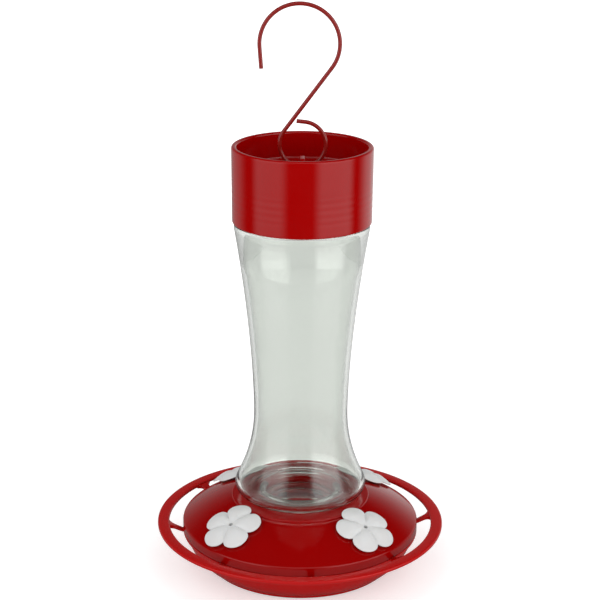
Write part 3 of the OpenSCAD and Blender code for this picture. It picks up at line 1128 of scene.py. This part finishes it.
@dataclass
class Flower:
    """A push-in port: five domed petals round a drinking hole, on a hollow stem."""

    ports: Ports
    petals: int = 5
    reach: float = 18.2
    lobe: float = 8.9
    notch: float = 1.7
    notch_power: float = 7.0
    rise: float = 3.9
    crown_r: float = 6.0
    dome: float = 24.5
    # The crease between two petals: its depth, where it starts, its way to full depth, and its power
    crease: float = 1.4
    crease_r: float = 2.0
    crease_run: float = 6.0
    crease_power: float = 3.2
    # The swell along a petal's middle: its height, its radius and its reach
    crest: float = 0.5
    crest_r: float = 9.5
    crest_reach: float = 4.0
    dip: float = 0.95
    dip_run: float = 4.2
    # Points of a petal's rolled edge, as steps in from its outline and down from its top
    brim: tuple[Point, ...] = ((0.16, 0.12), (0.0, 0.4), (0.06, 0.72), (0.5, 0.9))
    brim_w: float = 0.45
    under_w: float = 0.9
    leaf: float = 0.85
    leaf_low: float = 1.7
    sip_r: float = 1.3
    sip_deep: float = 2.4
    hub_r: float = 5.5
    hub_low: float = 0.3
    hub_deep: float = 1.9
    stem_r: float = 3.4
    stem_len: float = 10.0
    stem_segments: int = 72

    def edge(self, phi: float) -> float:
        """Gives how far a petal's outline is from the hole.

        Args:
            phi: Angle from the petal's middle line in radians.

        Returns:
            The distance.
        """
        middle = self.reach - self.lobe
        notch = self.notch * (abs(phi) * self.petals / math.pi) ** self.notch_power
        return middle * math.cos(phi) + math.sqrt(self.lobe**2 - (middle * math.sin(phi)) ** 2) - notch

    def top(self, r: float, phi: float) -> float:
        """Gives the height of the petals above the dome's tangent plane.

        Args:
            r: Distance from the hole's middle.
            phi: Angle from the petal's middle line in radians.

        Returns:
            The height.
        """
        fall = self.dome - math.sqrt(self.dome**2 - max(0.0, r - self.crown_r) ** 2)
        off = abs(phi) * self.petals / math.pi
        side = self.crease * ease((r - self.crease_r) / self.crease_run) * off**self.crease_power
        crest = self.crest * math.exp(-(((r - self.crest_r) / self.crest_reach) ** 2)) * (1 - off * off)
        dip = self.dip * (1 - ease((r - self.sip_r) / self.dip_run))
        return self.rise + crest - fall - side - dip

    def petal(self, name: str) -> bpy.types.Object:
        """Makes one petal, a closed leaf within its fifth of the circle.

        Args:
            name: Name of the piece.

        Returns:
            The petal, to be repeated round the hole.
        """
        half = math.pi / self.petals
        columns, rows, back = 20, 18, 6
        inner = self.hub_r - 1
        bm = bmesh.new()
        grid = []
        for i in range(columns + 1):
            phi = -half + 2 * half * i / columns
            far = self.edge(phi)
            line = [(self.sip_r, self.rise - self.sip_deep)]
            for j in range(rows + 1):
                r = self.sip_r + (far - self.brim_w - self.sip_r) * j / rows
                line.append((r, self.top(r, phi)))
            brim = self.top(far - self.brim_w, phi)
            line += [(far - step, brim - down) for step, down in self.brim]
            for j in range(back, -1, -1):
                r = inner + (far - self.under_w - inner) * j / back
                line.append((r, min(self.top(r, phi) - self.leaf, self.rise - self.leaf_low)))
            c, s = math.cos(math.pi + phi), math.sin(math.pi + phi)
            grid.append([bm.verts.new((r * c * MM, r * s * MM, z * MM)) for r, z in line])
        for line, after in zip(grid, grid[1:]):
            for a, b, c, d in zip(line, line[1:], after[1:], after):
                bm.faces.new((a, b, c, d))
        return finish_mesh(name, bm, 60)

    def stem(self, name: str) -> bpy.types.Object:
        """Makes the hub under the petals and the hollow stem.

        Args:
            name: Name of the piece.

        Returns:
            The hub and stem as one piece.
        """
        hub_top = self.rise - self.hub_deep
        corners = [
            (self.sip_r, -self.stem_len, 0.2),
            (self.stem_r, -self.stem_len, 0.5),
            (self.stem_r, self.hub_low, 0.3),
            (self.hub_r, self.hub_low, 0.4),
            (self.hub_r, hub_top, 0),
            (self.sip_r, hub_top, 0),
        ]
        return lathe(name, rounded(corners, 4), self.stem_segments)

    def build(self, finishes: Finishes, repeat: GeometryTree) -> None:
        """Makes the flowers and dresses them.

        Args:
            finishes: The materials.
            repeat: The tree that repeats the petal round the axis.
        """
        for k in range(self.ports.count):
            node = f"flower_{k + 1}"
            turn = Matrix.Rotation(math.radians(self.ports.turns[k]), 4, "Z")
            crown = repeat.bake(
                self.petal(node + "_petals"),
                {"Count": self.petals, "First turn": 0.0, "Finish": finishes.petals},
            )
            for piece in (crown, self.stem(node + "_stem")):
                piece.data.transform(self.ports.place(k) @ turn)
                dress(piece, finishes.petals, f"port_{k + 1}", "white_flower", node)


@dataclass
class Bottle:
    """The pinched glass bottle, neck down, with threads on its neck and its wide mouth."""

    at: Levels
    neck_thread: Thread
    mouth_thread: Thread
    base_r: float = 39.7
    waist_r: float = 28.2
    top_r: float = 39.9
    top_round: float = 1.1
    shoulder_r: float = 6.5
    glass: float = 2.6
    mouth_r: float = 36.4
    mouth_t: float = 3.0
    mouth_round: float = 1.0
    neck_r: float = 24.0
    neck_t: float = 3.4
    lip_round: float = 0.9
    root_round: float = 1.2
    throat_round: float = 3.0
    flare_power: float = 2.05
    rise_power: float = 1.65
    # The crown above the body, as steps out from the mouth's wall and up from the body's top
    crown_up: float = 1.6
    crown: tuple[Point, ...] = ((0.4, 2.75), (0.0, 3.1))
    # The soft shoulder inside, from above the body's top to far below it
    inner_up: float = 2.2
    inner_down: float = 22.0
    # The mould's rings on the floor inside, which the eye sees through the foot of the glass
    mark_h: float = 0.12
    mark_pitch: float = 3.2
    # Spacing of the rows of points on the two threads, below the waist, above it, and on the floor inside
    neck_row: float = 0.35
    mouth_row: float = 0.4
    low_row: float = 1.8
    high_row: float = 2.4
    floor_row: float = 0.4
    segments: int = 200

    def shoulder(self) -> Point:
        """Gives the middle of the shoulder's rounding."""
        return self.base_r - self.shoulder_r, self.at.under + self.shoulder_r

    def flare(self) -> tuple[float, Point]:
        """Finds where the shoulder runs into the body.

        Returns:
            The angle there in degrees, and the point.
        """
        r, z = self.shoulder()
        angle = math.atan(self.flare_power * (self.base_r - self.waist_r) / (self.at.waist - z))
        point = (r + self.shoulder_r * math.cos(angle), z + self.shoulder_r * math.sin(angle))
        return math.degrees(angle), point

    def body_r(self, z: float) -> float:
        """Gives the body's outer radius.

        Args:
            z: Height, above the shoulder.

        Returns:
            The radius.
        """
        start = self.flare()[1]
        if z < self.at.waist:
            part = (self.at.waist - z) / (self.at.waist - start[1])
            return self.waist_r + (start[0] - self.waist_r) * part**self.flare_power
        part = (z - self.at.waist) / (self.at.top - self.at.waist)
        return self.waist_r + (self.top_r - self.waist_r) * part**self.rise_power

    def outside(self) -> list[Point]:
        """Gives the outline up the outside, from the neck's lip to the mouth.

        Returns:
            The points in order.
        """
        at, soft = self.at, self.lip_round
        angle, start = self.flare()
        out = arc((self.neck_r - self.neck_t + soft, at.lip + soft), soft, 180, 270, 4)
        out += arc((self.neck_r - soft, at.lip + soft), soft, -90, 0, 4)
        out += [(self.neck_r, z) for z in heights(at.lip + 1.2, at.under - 1.4, self.neck_row)]
        soft = self.root_round
        out += arc((self.neck_r + soft, at.under - soft), soft, 180, 90, 5)
        out += [(r, at.under) for r in heights(self.neck_r + 2.5, self.shoulder()[0] - 1, 2.5)]
        out += arc(self.shoulder(), self.shoulder_r, -90, angle, 18)
        out += [(self.body_r(z), z) for z in heights(start[1], at.waist, self.low_row)[1:]]
        out += [(self.body_r(z), z) for z in heights(at.waist, at.top, self.high_row)[1:]]
        out += arc((self.top_r - self.top_round, at.top + self.crown_up), self.top_round, 0, 88, 6)
        out += [(self.mouth_r + step, at.top + up) for step, up in self.crown]
        out += [(self.mouth_r, z) for z in heights(at.top + 3.4, at.mouth - 1.2, self.mouth_row)]
        soft = self.mouth_round
        return out + arc((self.mouth_r - soft, at.mouth - soft), soft, 0, 90, 4)

    def inside(self) -> list[Point]:
        """Gives the outline down the inside, from the mouth to the neck's lip.

        Returns:
            The points in order.
        """
        at, soft = self.at, self.mouth_round
        mouth_in, bore = self.mouth_r - self.mouth_t, self.neck_r - self.neck_t
        angle, start = self.flare()
        out = arc((mouth_in + soft, at.mouth - soft), soft, 90, 180, 4)
        high, low = at.top + self.inner_up, at.top - self.inner_down
        out += [(mouth_in, z) for z in heights(at.mouth - 3, high, 3.0)]
        steps = 20
        for i in range(1, steps):
            narrow = (self.body_r(low) - self.glass - mouth_in) * ease(i / steps)
            out.append((mouth_in + narrow, high + (low - high) * i / steps))
        levels = heights(low, at.waist, self.high_row)[1:] + heights(at.waist, start[1], self.low_row)[1:]
        out += [(self.body_r(z) - self.glass, z) for z in levels]
        out += arc(self.shoulder(), self.shoulder_r - self.glass, angle, -90, 14)[1:]
        floor, soft = at.under + self.glass, self.throat_round
        rows = heights(self.shoulder()[0] - 1, bore + soft + 0.8, self.floor_row)
        out += [(r, floor + self.mark_h * math.sin(TURN * r / self.mark_pitch)) for r in rows]
        out += arc((bore + soft, floor - soft), soft, 90, 180, 10)
        return out + [(bore, z) for z in heights(floor - 4, at.lip + 1.6, 2.0)]

    def ridge(self, r: float, z: float, angle: float) -> float:
        """Raises the two threads from the glass.

        Args:
            r: Radius of a point of the outline.
            z: Its height.
            angle: Its angle about the axis in radians.

        Returns:
            What the thread adds to the radius there.
        """
        if abs(r - self.neck_r) < NEAR:
            return self.neck_thread.rise(z, angle)
        if abs(r - self.mouth_r) < NEAR:
            return self.mouth_thread.rise(z, angle)
        return 0.0

    def build(self, finishes: Finishes) -> None:
        """Makes the bottle and dresses it."""
        piece = lathe("bottle_glass", self.outside() + self.inside(), self.segments, self.ridge)
        dress(piece, finishes.glass, Body.BOTTLE.value, "clear_glass", "bottle")


@dataclass
class Seals:
    """The flat rings that close the neck and the mouth."""

    at: Levels
    neck_in: float = 19.8
    neck_out: float = 24.3
    mouth_in: float = 32.2
    mouth_out: float = 36.7
    soft: float = 0.3
    segments: int = 144

    def ring(self, name: str, inner: float, outer: float, low: float, high: float) -> bpy.types.Object:
        """Makes one flat ring with softened edges.

        Args:
            name: Name of the piece.
            inner: Inner radius.
            outer: Outer radius.
            low: Height of its underside.
            high: Height of its top.

        Returns:
            The ring.
        """
        corners = ((inner, low), (outer, low), (outer, high), (inner, high))
        return lathe(name, rounded([(r, z, self.soft) for r, z in corners], 4), self.segments)

    def build(self, finishes: Finishes) -> None:
        """Makes both seals and dresses them.

        Args:
            finishes: The materials.
        """
        at = self.at
        lower = self.ring("neck_seal_ring", self.neck_in, self.neck_out, at.seat, at.lip)
        dress(lower, finishes.seal, Body.LOWER_SEAL.value, "pale_silicone", "neck_seal")
        upper = self.ring("cap_seal_ring", self.mouth_in, self.mouth_out, at.mouth, at.cap_roof)
        dress(upper, finishes.seal, Body.UPPER_SEAL.value, "pale_silicone", "cap_seal")


@dataclass
class Cap:
    """The cup shaped cap: threaded skirt below, moat for water above, and a tab with an eye."""

    at: Levels
    thread: Thread
    radius: float = 41.2
    draft: float = 0.3
    foot_round: float = 0.8
    rim_t: float = 3.2
    rim_round: float = 1.2
    cup_round: float = 2.4
    # Points of the cup's wall, as steps in from the rim and heights from the rim and from the floor
    cup_high: Pair = (0.1, 5.0)
    cup_low: Pair = (0.3, 4.0)
    cup_in: float = 0.4
    skirt_in: float = 37.9
    skirt_chamfer: float = 0.5
    tab_t: float = 3.1
    tab_w: float = 14.0
    tab_h: float = 10.0
    tab_sunk: float = 0.6
    tab_corner: float = 3.0
    tab_soft: float = 0.45
    eye_r: float = 1.6
    # Where the skin sinks in faintly over the thread inside, as moulded walls do
    band_low: float = 221.5
    band_high: float = 241.0
    band_pitch: float = 4.1
    band_deep: float = 0.03
    band_fade: float = 3.0
    # Spacing of the rows of points outside and on the thread inside, and a ring of points on the floor
    skin_row: float = 0.6
    thread_row: float = 0.4
    middle_r: float = 20.0
    segments: int = 216

    def skin(self, z: float) -> float:
        """Gives the outer radius, which shows the thread inside as faint ripples.

        Args:
            z: Height.

        Returns:
            The radius.
        """
        grow = (z - self.at.cap_low) / (self.at.rim - self.at.cap_low)
        fade = ease((z - self.band_low) / self.band_fade) * ease((self.band_high - z) / self.band_fade)
        ripple = self.band_deep * (1 - math.cos(TURN * (z - self.band_low) / self.band_pitch)) * fade
        return self.radius - self.draft + self.draft * grow - ripple

    def profile(self) -> list[Point]:
        """Gives the cap's outline, up the outside, down the cup and under the skirt.

        Returns:
            The points in order round the outline.
        """
        at, cup, soft = self.at, self.radius - self.rim_t, self.foot_round
        out = arc((self.skin(at.cap_low) - soft, at.cap_low + soft), soft, -90, 0, 5)
        out += [(self.skin(z), z) for z in heights(at.cap_low + 1.4, at.rim - 2, self.skin_row)]
        soft = self.rim_round
        out += arc((self.radius - soft, at.rim - soft), soft, 0, 90, 7)
        out += arc((cup + soft, at.rim - soft), soft, 90, 180, 7)
        out += [(cup - self.cup_high[0], at.rim - self.cup_high[1])]
        out += [(cup - self.cup_low[0], at.cup_floor + self.cup_low[1])]
        soft = self.cup_round
        out += arc((cup - self.cup_in - soft, at.cup_floor + soft), soft, 0, -90, 8)
        out += [(self.middle_r, at.cup_floor), (0, at.cup_floor)]
        out += [(0, at.cap_roof), (self.middle_r, at.cap_roof)]
        soft = self.skirt_chamfer
        out += [(self.skirt_in - soft, at.cap_roof), (self.skirt_in, at.cap_roof - soft)]
        out += [(self.skirt_in, z) for z in heights(at.cap_roof - 0.9, at.cap_low + 0.9, self.thread_row)]
        return out + [(self.skirt_in + soft, at.cap_low)]

    def ridge(self, r: float, z: float, angle: float) -> float:
        """Raises the inner thread towards the axis."""
        return -self.thread.rise(z, angle) if abs(r - self.skirt_in) < NEAR else 0.0

    def tab(self) -> bpy.types.Object:
        """Makes the hanging tab, with rounded edges and the eye through it.

        Returns:
            The tab.
        """
        low, top = self.at.cup_floor - self.tab_sunk, self.at.cup_floor + self.tab_h
        half, corner = self.tab_w / 2, self.tab_corner
        outline = [(-half, low), (half, low)]
        outline += arc((half - corner, top - corner), corner, 0, 90, 10)
        outline += arc((corner - half, top - corner), corner, 90, 180, 10)
        centre = Vector((0, self.at.eye))
        count = 48
        turns = [TURN * k / count for k in range(count)]
        hole = [(self.eye_r * math.cos(a), self.at.eye + self.eye_r * math.sin(a)) for a in turns]
        spread = [self.tab_edge(outline, centre, Vector((math.cos(a), math.sin(a)))) for a in turns]
        bm = bmesh.new()

        def around(points: Sequence[Point], x: float, grow: float) -> list[bmesh.types.BMVert]:
            """Places a loop of points on a plane across X.

            Args:
                points: Y and Z of each point.
                x: Where the plane is.
                grow: How far the points move away from the eye.

            Returns:
                The corners of the loop.
            """
            made = []
            for y, z in points:
                off = Vector((y, z)) - centre
                spot = centre + off * (1 + grow / max(off.length, 0.1))
                made.append(bm.verts.new((x * MM, spot.x * MM, spot.y * MM)))
            return made

        side, soft = self.tab_t / 2, self.tab_soft
        steps = [
            (hole, side - soft / 2, 0.0),
            (hole, side, soft / 2),
            (spread, side, -soft),
            (spread, side - soft * 0.3, -soft * 0.3),
            (spread, side - soft, 0.0),
        ]
        loops = [around(points, -x, grow) for points, x, grow in steps]
        loops += [around(points, x, grow) for points, x, grow in reversed(steps)]
        for first, second in zip(loops, loops[1:] + loops[:1]):
            for k in range(count):
                n = (k + 1) % count
                bm.faces.new((first[k], first[n], second[n], second[k]))
        return finish_mesh("top_cap_tab", bm, 50)

    @staticmethod
    def tab_edge(outline: Sequence[Point], centre: Vector, direction: Vector) -> Point:
        """Finds where a ray from the eye leaves the tab's outline.

        Args:
            outline: The tab's outline.
            centre: Where the ray starts.
            direction: Where it goes.

        Returns:
            The point on the outline.
        """
        best = None
        for a, b in zip(outline, list(outline[1:]) + [outline[0]]):
            p, edge = Vector(a) - centre, Vector(b) - Vector(a)
            cross = direction.x * edge.y - direction.y * edge.x
            if abs(cross) < TINY:
                continue
            far = (p.x * edge.y - p.y * edge.x) / cross
            along = (p.x * direction.y - p.y * direction.x) / cross
            if far > 0 and -TINY <= along <= 1 + TINY and (best is None or far < best):
                best = far
        spot = centre + direction * (best or 1.0)
        return spot.x, spot.y

    def build(self, finishes: Finishes) -> None:
        """Makes the cap and dresses it.

        Args:
            finishes: The materials.
        """
        shell = lathe("top_cap_shell", self.profile(), self.segments, self.ridge)
        for piece in (shell, self.tab()):
            dress(piece, finishes.cap, Body.CAP.value, "red_cap", "top_cap")


@dataclass
class Hook:
    """The hook, bent from one round wire in the XZ plane."""

    at: Levels
    wire_r: float = 1.2
    wire_sides: int = 28
    loop_r: float = 13.3
    hook_r: float = 22.8
    shank: float = 45.4
    slope: float = 53.5
    tail: float = 12.4
    lean: float = 4.4
    loop_end: float = 444.0
    loop_tail: float = 5.0

    def path(self) -> list[Point]:
        """Gives the wire's middle line, from the loop's free end to the hook's tip.

        Returns:
            The points in order.
        """
        start = self.slope + 90
        bend = arc((0.0, self.at.eye + self.loop_r), self.loop_r, start, self.loop_end, 120)
        free = self.beyond(bend[-1], self.loop_end + 90, self.loop_tail)
        high = self.beyond(bend[0], self.slope, self.shank)
        middle = self.beyond(high, start, self.hook_r)
        crook = arc(middle, self.hook_r, self.slope - 90, 180 + self.lean, 110)
        tip = self.beyond(crook[-1], 270 + self.lean, self.tail)
        return [free] + bend[::-1] + crook + [tip]

    @staticmethod
    def beyond(point: Point, angle: float, length: float) -> Point:
        """Gives the end of a straight that leaves a point at an angle in degrees."""
        way = math.radians(angle)
        return point[0] + length * math.cos(way), point[1] + length * math.sin(way)

    def build(self, finishes: Finishes, sweep: GeometryTree) -> None:
        """Makes the hook and dresses it.

        Args:
            finishes: The materials.
            sweep: The tree that sweeps a round section along a line.
        """
        points = [(x * MM, 0.0, z * MM) for x, z in self.path()]
        mesh = bpy.data.meshes.new("hanging_hook_wire")
        mesh.from_pydata(points, [(i, i + 1) for i in range(len(points) - 1)], [])
        piece = bpy.data.objects.new("hanging_hook_wire", mesh)
        bpy.context.scene.collection.objects.link(piece)
        sweep.bake(piece, {"Radius": self.wire_r * MM, "Sides": self.wire_sides, "Finish": finishes.wire})
        piece.data.shade_smooth()
        piece.data.set_sharp_from_angle(angle=math.radians(50))
        dress(piece, finishes.wire, Body.HOOK.value, "red_wire", "hanging_hook")


# Studio


class Sight(Enum):
    """What a fade runs along: parts of the direction of sight, or a distance."""

    RIGHT = "x of the direction"
    BACK = "y of the direction"
    UP = "z of the direction"
    ASIDE = "turn away from a soft box in radians"
    AWAY = "metres from the feeder's foot"


@dataclass(frozen=True)
class Fade:
    """A smooth change from one level to another along one measure."""

    along: Sight
    start: float
    end: float
    low: float = 0.0
    high: float = 1.0


def faded(
    tree: bpy.types.NodeTree,
    measures: dict[Sight, bpy.types.NodeSocket],
    fades: Sequence[Fade],
    level: bpy.types.NodeSocket | float = 1.0,
) -> bpy.types.NodeSocket:
    """Multiplies a level by each of some fades, which makes a patch of light with soft edges.

    Args:
        tree: The node tree.
        measures: The socket that gives each measure.
        fades: The fades.
        level: What they are multiplied with.

    Returns:
        The product.
    """
    for fade in fades:
        ends = {"From Min": fade.start, "From Max": fade.end, "To Min": fade.low, "To Max": fade.high}
        links = {"Value": measures[fade.along], **ends}
        eased = add_node(tree, "ShaderNodeMapRange", links, interpolation_type="SMOOTHSTEP").outputs[0]
        level = add_node(tree, "ShaderNodeMath", {0: level, 1: eased}, operation="MULTIPLY").outputs[0]
    return level


@dataclass(frozen=True)
class SoftBox:
    """A tall soft box as a glossy surface mirrors it, by its direction in degrees from the viewer's side."""

    azimuth: float
    half_width: float
    level: float
    soft: float = 9.0

    def fades(self) -> tuple[Fade, ...]:
        """Gives the fades at its sides, at its top, and down towards its foot, where it is dimmer."""
        half, soft = math.radians(self.half_width), math.radians(self.soft)
        return (
            Fade(Sight.ASIDE, half - soft, half + soft, self.level, 0.0),
            Fade(Sight.UP, 0.35, 0.65, 1.0, 0.0),
            Fade(Sight.UP, -0.5, 0.05, 0.55, 1.15),
        )


@dataclass
class Studio:
    """The pale floor, soft lamps, white surround and the camera at the photograph's view."""

    focal_px: float = 1706.39
    frame_px: float = 600.0
    sensor_mm: float = 36.0
    distance: float = 0.96144
    height: float = 0.47913
    pitch: float = 17.984
    roll: float = 0.401
    centre_px: float = 301.516
    floor_r: float = 3.0
    floor_down: float = 0.0005
    paper: float = 0.8
    paper_mirrored: float = 0.35
    paper_glow: float = 0.46
    paper_far: Fade = Fade(Sight.AWAY, 0.15, 0.6, 0.0, 0.3)
    paper_end: Fade = Fade(Sight.AWAY, 0.16, 0.34)
    lamp_rise: float = 0.3
    lamp_far: float = 1.5
    lamp_size: Pair = (1.4, 1.2)
    lamp_aim: float = 0.15
    ambient: Fade = Fade(Sight.UP, 0.0, 0.9, 0.8, 0.78)
    boxes: tuple[SoftBox, ...] = (SoftBox(-56.0, 27.0, 1.0), SoftBox(56.0, 31.0, 1.35))
    # What a gloss mirrors beside the soft boxes: the backdrop, brighter at the right, and the ceiling
    mirrored: tuple[tuple[Fade, ...], ...] = (
        (
            Fade(Sight.RIGHT, -0.12, 0.12, 0.35, 0.75),
            Fade(Sight.BACK, 0.15, 0.6),
            Fade(Sight.UP, 0.0, 0.55, 1.0, 0.0),
        ),
        (Fade(Sight.BACK, -0.35, -0.5), Fade(Sight.UP, 0.3, 0.5, 0.0, 0.7)),
    )
    # How much brighter the lights in front are to a ray inside the glass, which dims them on its way
    inside: Fade = Fade(Sight.BACK, -0.1, 0.1, 2.6, 1.0)
    # What the glass shows else: the white behind it, the floor all round, and light from above
    clear: tuple[tuple[Fade, ...], ...] = (
        (Fade(Sight.BACK, 0.0, 0.3), Fade(Sight.UP, 0.16, 0.34, 1.0, 0.0)),
        (Fade(Sight.UP, 0.05, 0.14, 1.0, 0.0),),
        (Fade(Sight.UP, 0.5, 0.7, 0.0, 1.3),),
    )

    def camera(self) -> None:
        """Places the camera by the fit to the photograph."""
        data = bpy.data.cameras.new("photo_view")
        data.sensor_width = self.sensor_mm
        data.lens = self.focal_px / self.frame_px * self.sensor_mm
        data.shift_x = -(self.centre_px - self.frame_px / 2) / self.frame_px
        data.clip_start = 0.05
        view = bpy.data.objects.new("photo_view", data)
        view.location = (0, -self.distance, self.height)
        level = Matrix.Rotation(math.radians(90 - self.pitch), 4, "X")
        view.rotation_euler = (level @ Matrix.Rotation(math.radians(self.roll), 4, "Z")).to_euler()
        bpy.context.scene.collection.objects.link(view)
        bpy.context.scene.camera = view

    def floor(self) -> None:
        """Lays a plain pale floor that shows white to the camera and keeps the shadow."""
        material, tree, out = blank_material("matt_paper_pale")
        ray = add_node(tree, "ShaderNodeLightPath").outputs
        sees, bends = ray["Is Camera Ray"], ray["Is Transmission Ray"]
        seen = add_node(tree, "ShaderNodeMath", {0: sees, 1: bends}, operation="MAXIMUM").outputs[0]
        # A ray that the glass bends counts as a glossy one too, and only the others are mirrored
        mirror = add_node(
            tree, "ShaderNodeMath", {0: ray["Is Glossy Ray"], 1: bends}, operation="SUBTRACT", use_clamp=True
        ).outputs[0]
        place = add_node(tree, "ShaderNodeTexCoord").outputs["Object"]
        away = add_node(tree, "ShaderNodeVectorMath", {0: place}, operation="LENGTH").outputs["Value"]
        shade = add_node(
            tree, "ShaderNodeMapRange", {"Value": mirror, "To Min": self.paper, "To Max": self.paper_mirrored}
        )
        paper = add_node(tree, "ShaderNodeBsdfDiffuse", {"Color": shade.outputs[0]})
        far = faded(tree, {Sight.AWAY: away}, [self.paper_far], sees)
        lift = add_node(
            tree, "ShaderNodeMath", {0: seen, 1: self.paper_glow, 2: far}, operation="MULTIPLY_ADD"
        )
        glow = add_node(tree, "ShaderNodeEmission", {"Color": (1, 1, 1, 1), "Strength": lift.outputs[0]})
        both = add_node(tree, "ShaderNodeAddShader", {0: paper.outputs[0], 1: glow.outputs[0]})
        # Mirrored, the paper ends not far from the feeder and gives way to the surround
        gone = faded(tree, {Sight.AWAY: away}, [self.paper_end], mirror)
        none = add_node(tree, "ShaderNodeBsdfTransparent")
        mixed = add_node(tree, "ShaderNodeMixShader", {0: gone, 1: both.outputs[0], 2: none.outputs[0]})
        tree.links.new(mixed.outputs[0], out.inputs["Surface"])
        bm = bmesh.new()
        bmesh.ops.create_circle(bm, cap_ends=True, radius=self.floor_r, segments=96)
        sheet = finish_mesh("floor_sheet", bm)
        sheet.data.transform(Matrix.Translation((0, 0, -self.floor_down)))
        sheet.data.materials.append(material)
        sheet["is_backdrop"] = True

    def lamp(self, name: str, azimuth: float, power: float) -> None:
        """Hangs a soft box that faces the feeder and lights it, unseen in gloss and glass.

        Args:
            name: The lamp's name.
            azimuth: Direction from the feeder in degrees, 0 towards the camera and positive to the right.
            power: Its power in watts.
        """
        data = bpy.data.lights.new(name, "AREA")
        data.shape = "RECTANGLE"
        data.size, data.size_y = self.lamp_size
        data.energy = power
        box = bpy.data.objects.new(name, data)
        a = math.radians(azimuth)
        box.location = (self.lamp_far * math.sin(a), -self.lamp_far * math.cos(a), self.lamp_rise)
        aim = Vector((0, 0, self.lamp_aim)) - box.location
        box.rotation_euler = aim.to_track_quat("-Z", "Y").to_euler()
        box.visible_glossy = False
        box.visible_transmission = False
        bpy.context.scene.collection.objects.link(box)

    def mirror_light(
        self, tree: bpy.types.NodeTree, measures: dict[Sight, bpy.types.NodeSocket]
    ) -> bpy.types.NodeSocket:
        """Draws what a glossy surface mirrors: soft boxes at the sides, the backdrop and the ceiling.

        Args:
            tree: The world's node tree.
            measures: The socket that gives each part of the direction of sight.

        Returns:
            The level of light by direction.
        """
        front = add_node(tree, "ShaderNodeMath", {0: measures[Sight.BACK], 1: -1.0}, operation="MULTIPLY")
        turn = add_node(
            tree, "ShaderNodeMath", {0: measures[Sight.RIGHT], 1: front.outputs[0]}, operation="ARCTAN2"
        )
        patches = [faded(tree, measures, fades) for fades in self.mirrored]
        for box in self.boxes:
            middle = math.radians(box.azimuth)
            off = add_node(tree, "ShaderNodeMath", {0: turn.outputs[0], 1: middle}, operation="SUBTRACT")
            aside = add_node(tree, "ShaderNodeMath", {0: off.outputs[0]}, operation="ABSOLUTE").outputs[0]
            patches.append(faded(tree, {**measures, Sight.ASIDE: aside}, box.fades()))
        level = patches[0]
        for lit in patches[1:]:
            level = add_node(tree, "ShaderNodeMath", {0: level, 1: lit}, operation="ADD").outputs[0]
        return level

    def surround(self) -> None:
        """Fills the world: white to the camera, soft light to the pieces, lamps and backdrop in a gloss."""
        world = bpy.data.worlds.new("surround")
        bpy.context.scene.world = world
        world.use_nodes = True
        tree = world.node_tree
        tree.nodes.clear()
        ray = add_node(tree, "ShaderNodeLightPath").outputs
        way = add_node(tree, "ShaderNodeTexCoord").outputs["Generated"]
        split = add_node(tree, "ShaderNodeSeparateXYZ", {0: way}).outputs
        measures = dict(zip((Sight.RIGHT, Sight.BACK, Sight.UP), split))
        mirror = self.mirror_light(tree, measures)
        through = faded(tree, measures, [self.inside], mirror)
        for fades in self.clear:
            lit = faded(tree, measures, fades)
            through = add_node(tree, "ShaderNodeMath", {0: through, 1: lit}, operation="MAXIMUM").outputs[0]
        level = faded(tree, measures, [self.ambient])
        # A bent ray counts as glossy too, so the light through the glass comes after the mirrored one
        lights = {"Is Glossy Ray": mirror, "Is Transmission Ray": through, "Is Camera Ray": 1.0}
        for flag, light in lights.items():
            level = add_node(tree, "ShaderNodeMix", {0: ray[flag], 2: level, 3: light}).outputs[0]
        glow = add_node(tree, "ShaderNodeBackground", {"Color": (1, 1, 1, 1), "Strength": level})
        add_node(tree, "ShaderNodeOutputWorld", {"Surface": glow.outputs[0]})

    def build(self) -> None:
        """Sets up the whole studio."""
        self.camera()
        self.floor()
        self.surround()
        self.lamp("softbox_left", azimuth=-50, power=8)
        self.lamp("softbox_right", azimuth=50, power=10)
        bpy.context.scene.view_settings.view_transform = "Standard"


def note_size(cad_box: object) -> None:
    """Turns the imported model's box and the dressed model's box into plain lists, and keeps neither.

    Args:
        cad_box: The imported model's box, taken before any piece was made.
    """
    {"cad": plain(cad_box), "visual": plain(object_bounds())}


def plain(value: object) -> object:
    """Turns vectors into plain lists of numbers.

    Args:
        value: A number, or a sequence of them at any depth.

    Returns:
        The same numbers in lists.
    """
    if isinstance(value, (int, float)):
        return float(value)
    return [plain(v) for v in value]


def main() -> None:
    """Builds the feeder from the dish up, then the studio."""
    logging.basicConfig(level=logging.INFO, format="%(message)s")
    cad_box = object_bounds()
    at = Levels()
    ports = Ports()
    finishes = Finishes()
    repeat, sweep = ring_tree(), wire_tree()
    # A ridge and what it turns in share a pitch; the groove is wider and longer than its ridge
    small, large = 4.2, 5.0
    neck = Thread(small, height=0.9, width=2.4, low=at.lip + 2.4, high=at.land - 0.6)
    groove = Thread(small, height=0.85, width=3.4, low=at.lip - 4, high=at.land + 9)
    mouth = Thread(large, height=0.9, width=2.2, low=at.top + 4.5, high=at.mouth - 2)
    inner = Thread(large, height=0.9, width=2.2, low=at.cap_low + 1, high=at.cap_roof - 3, phase=large / 2)
    Dish(at).build(finishes, repeat)
    Cover(at, ports, groove).build(finishes)
    Flower(ports).build(finishes, repeat)
    Bottle(at, neck, mouth).build(finishes)
    Seals(at).build(finishes)
    Cap(at, inner).build(finishes)
    Hook(at).build(finishes, sweep)
    Studio().build()
    note_size(cad_box)


if __name__ == "__main__":
    main()
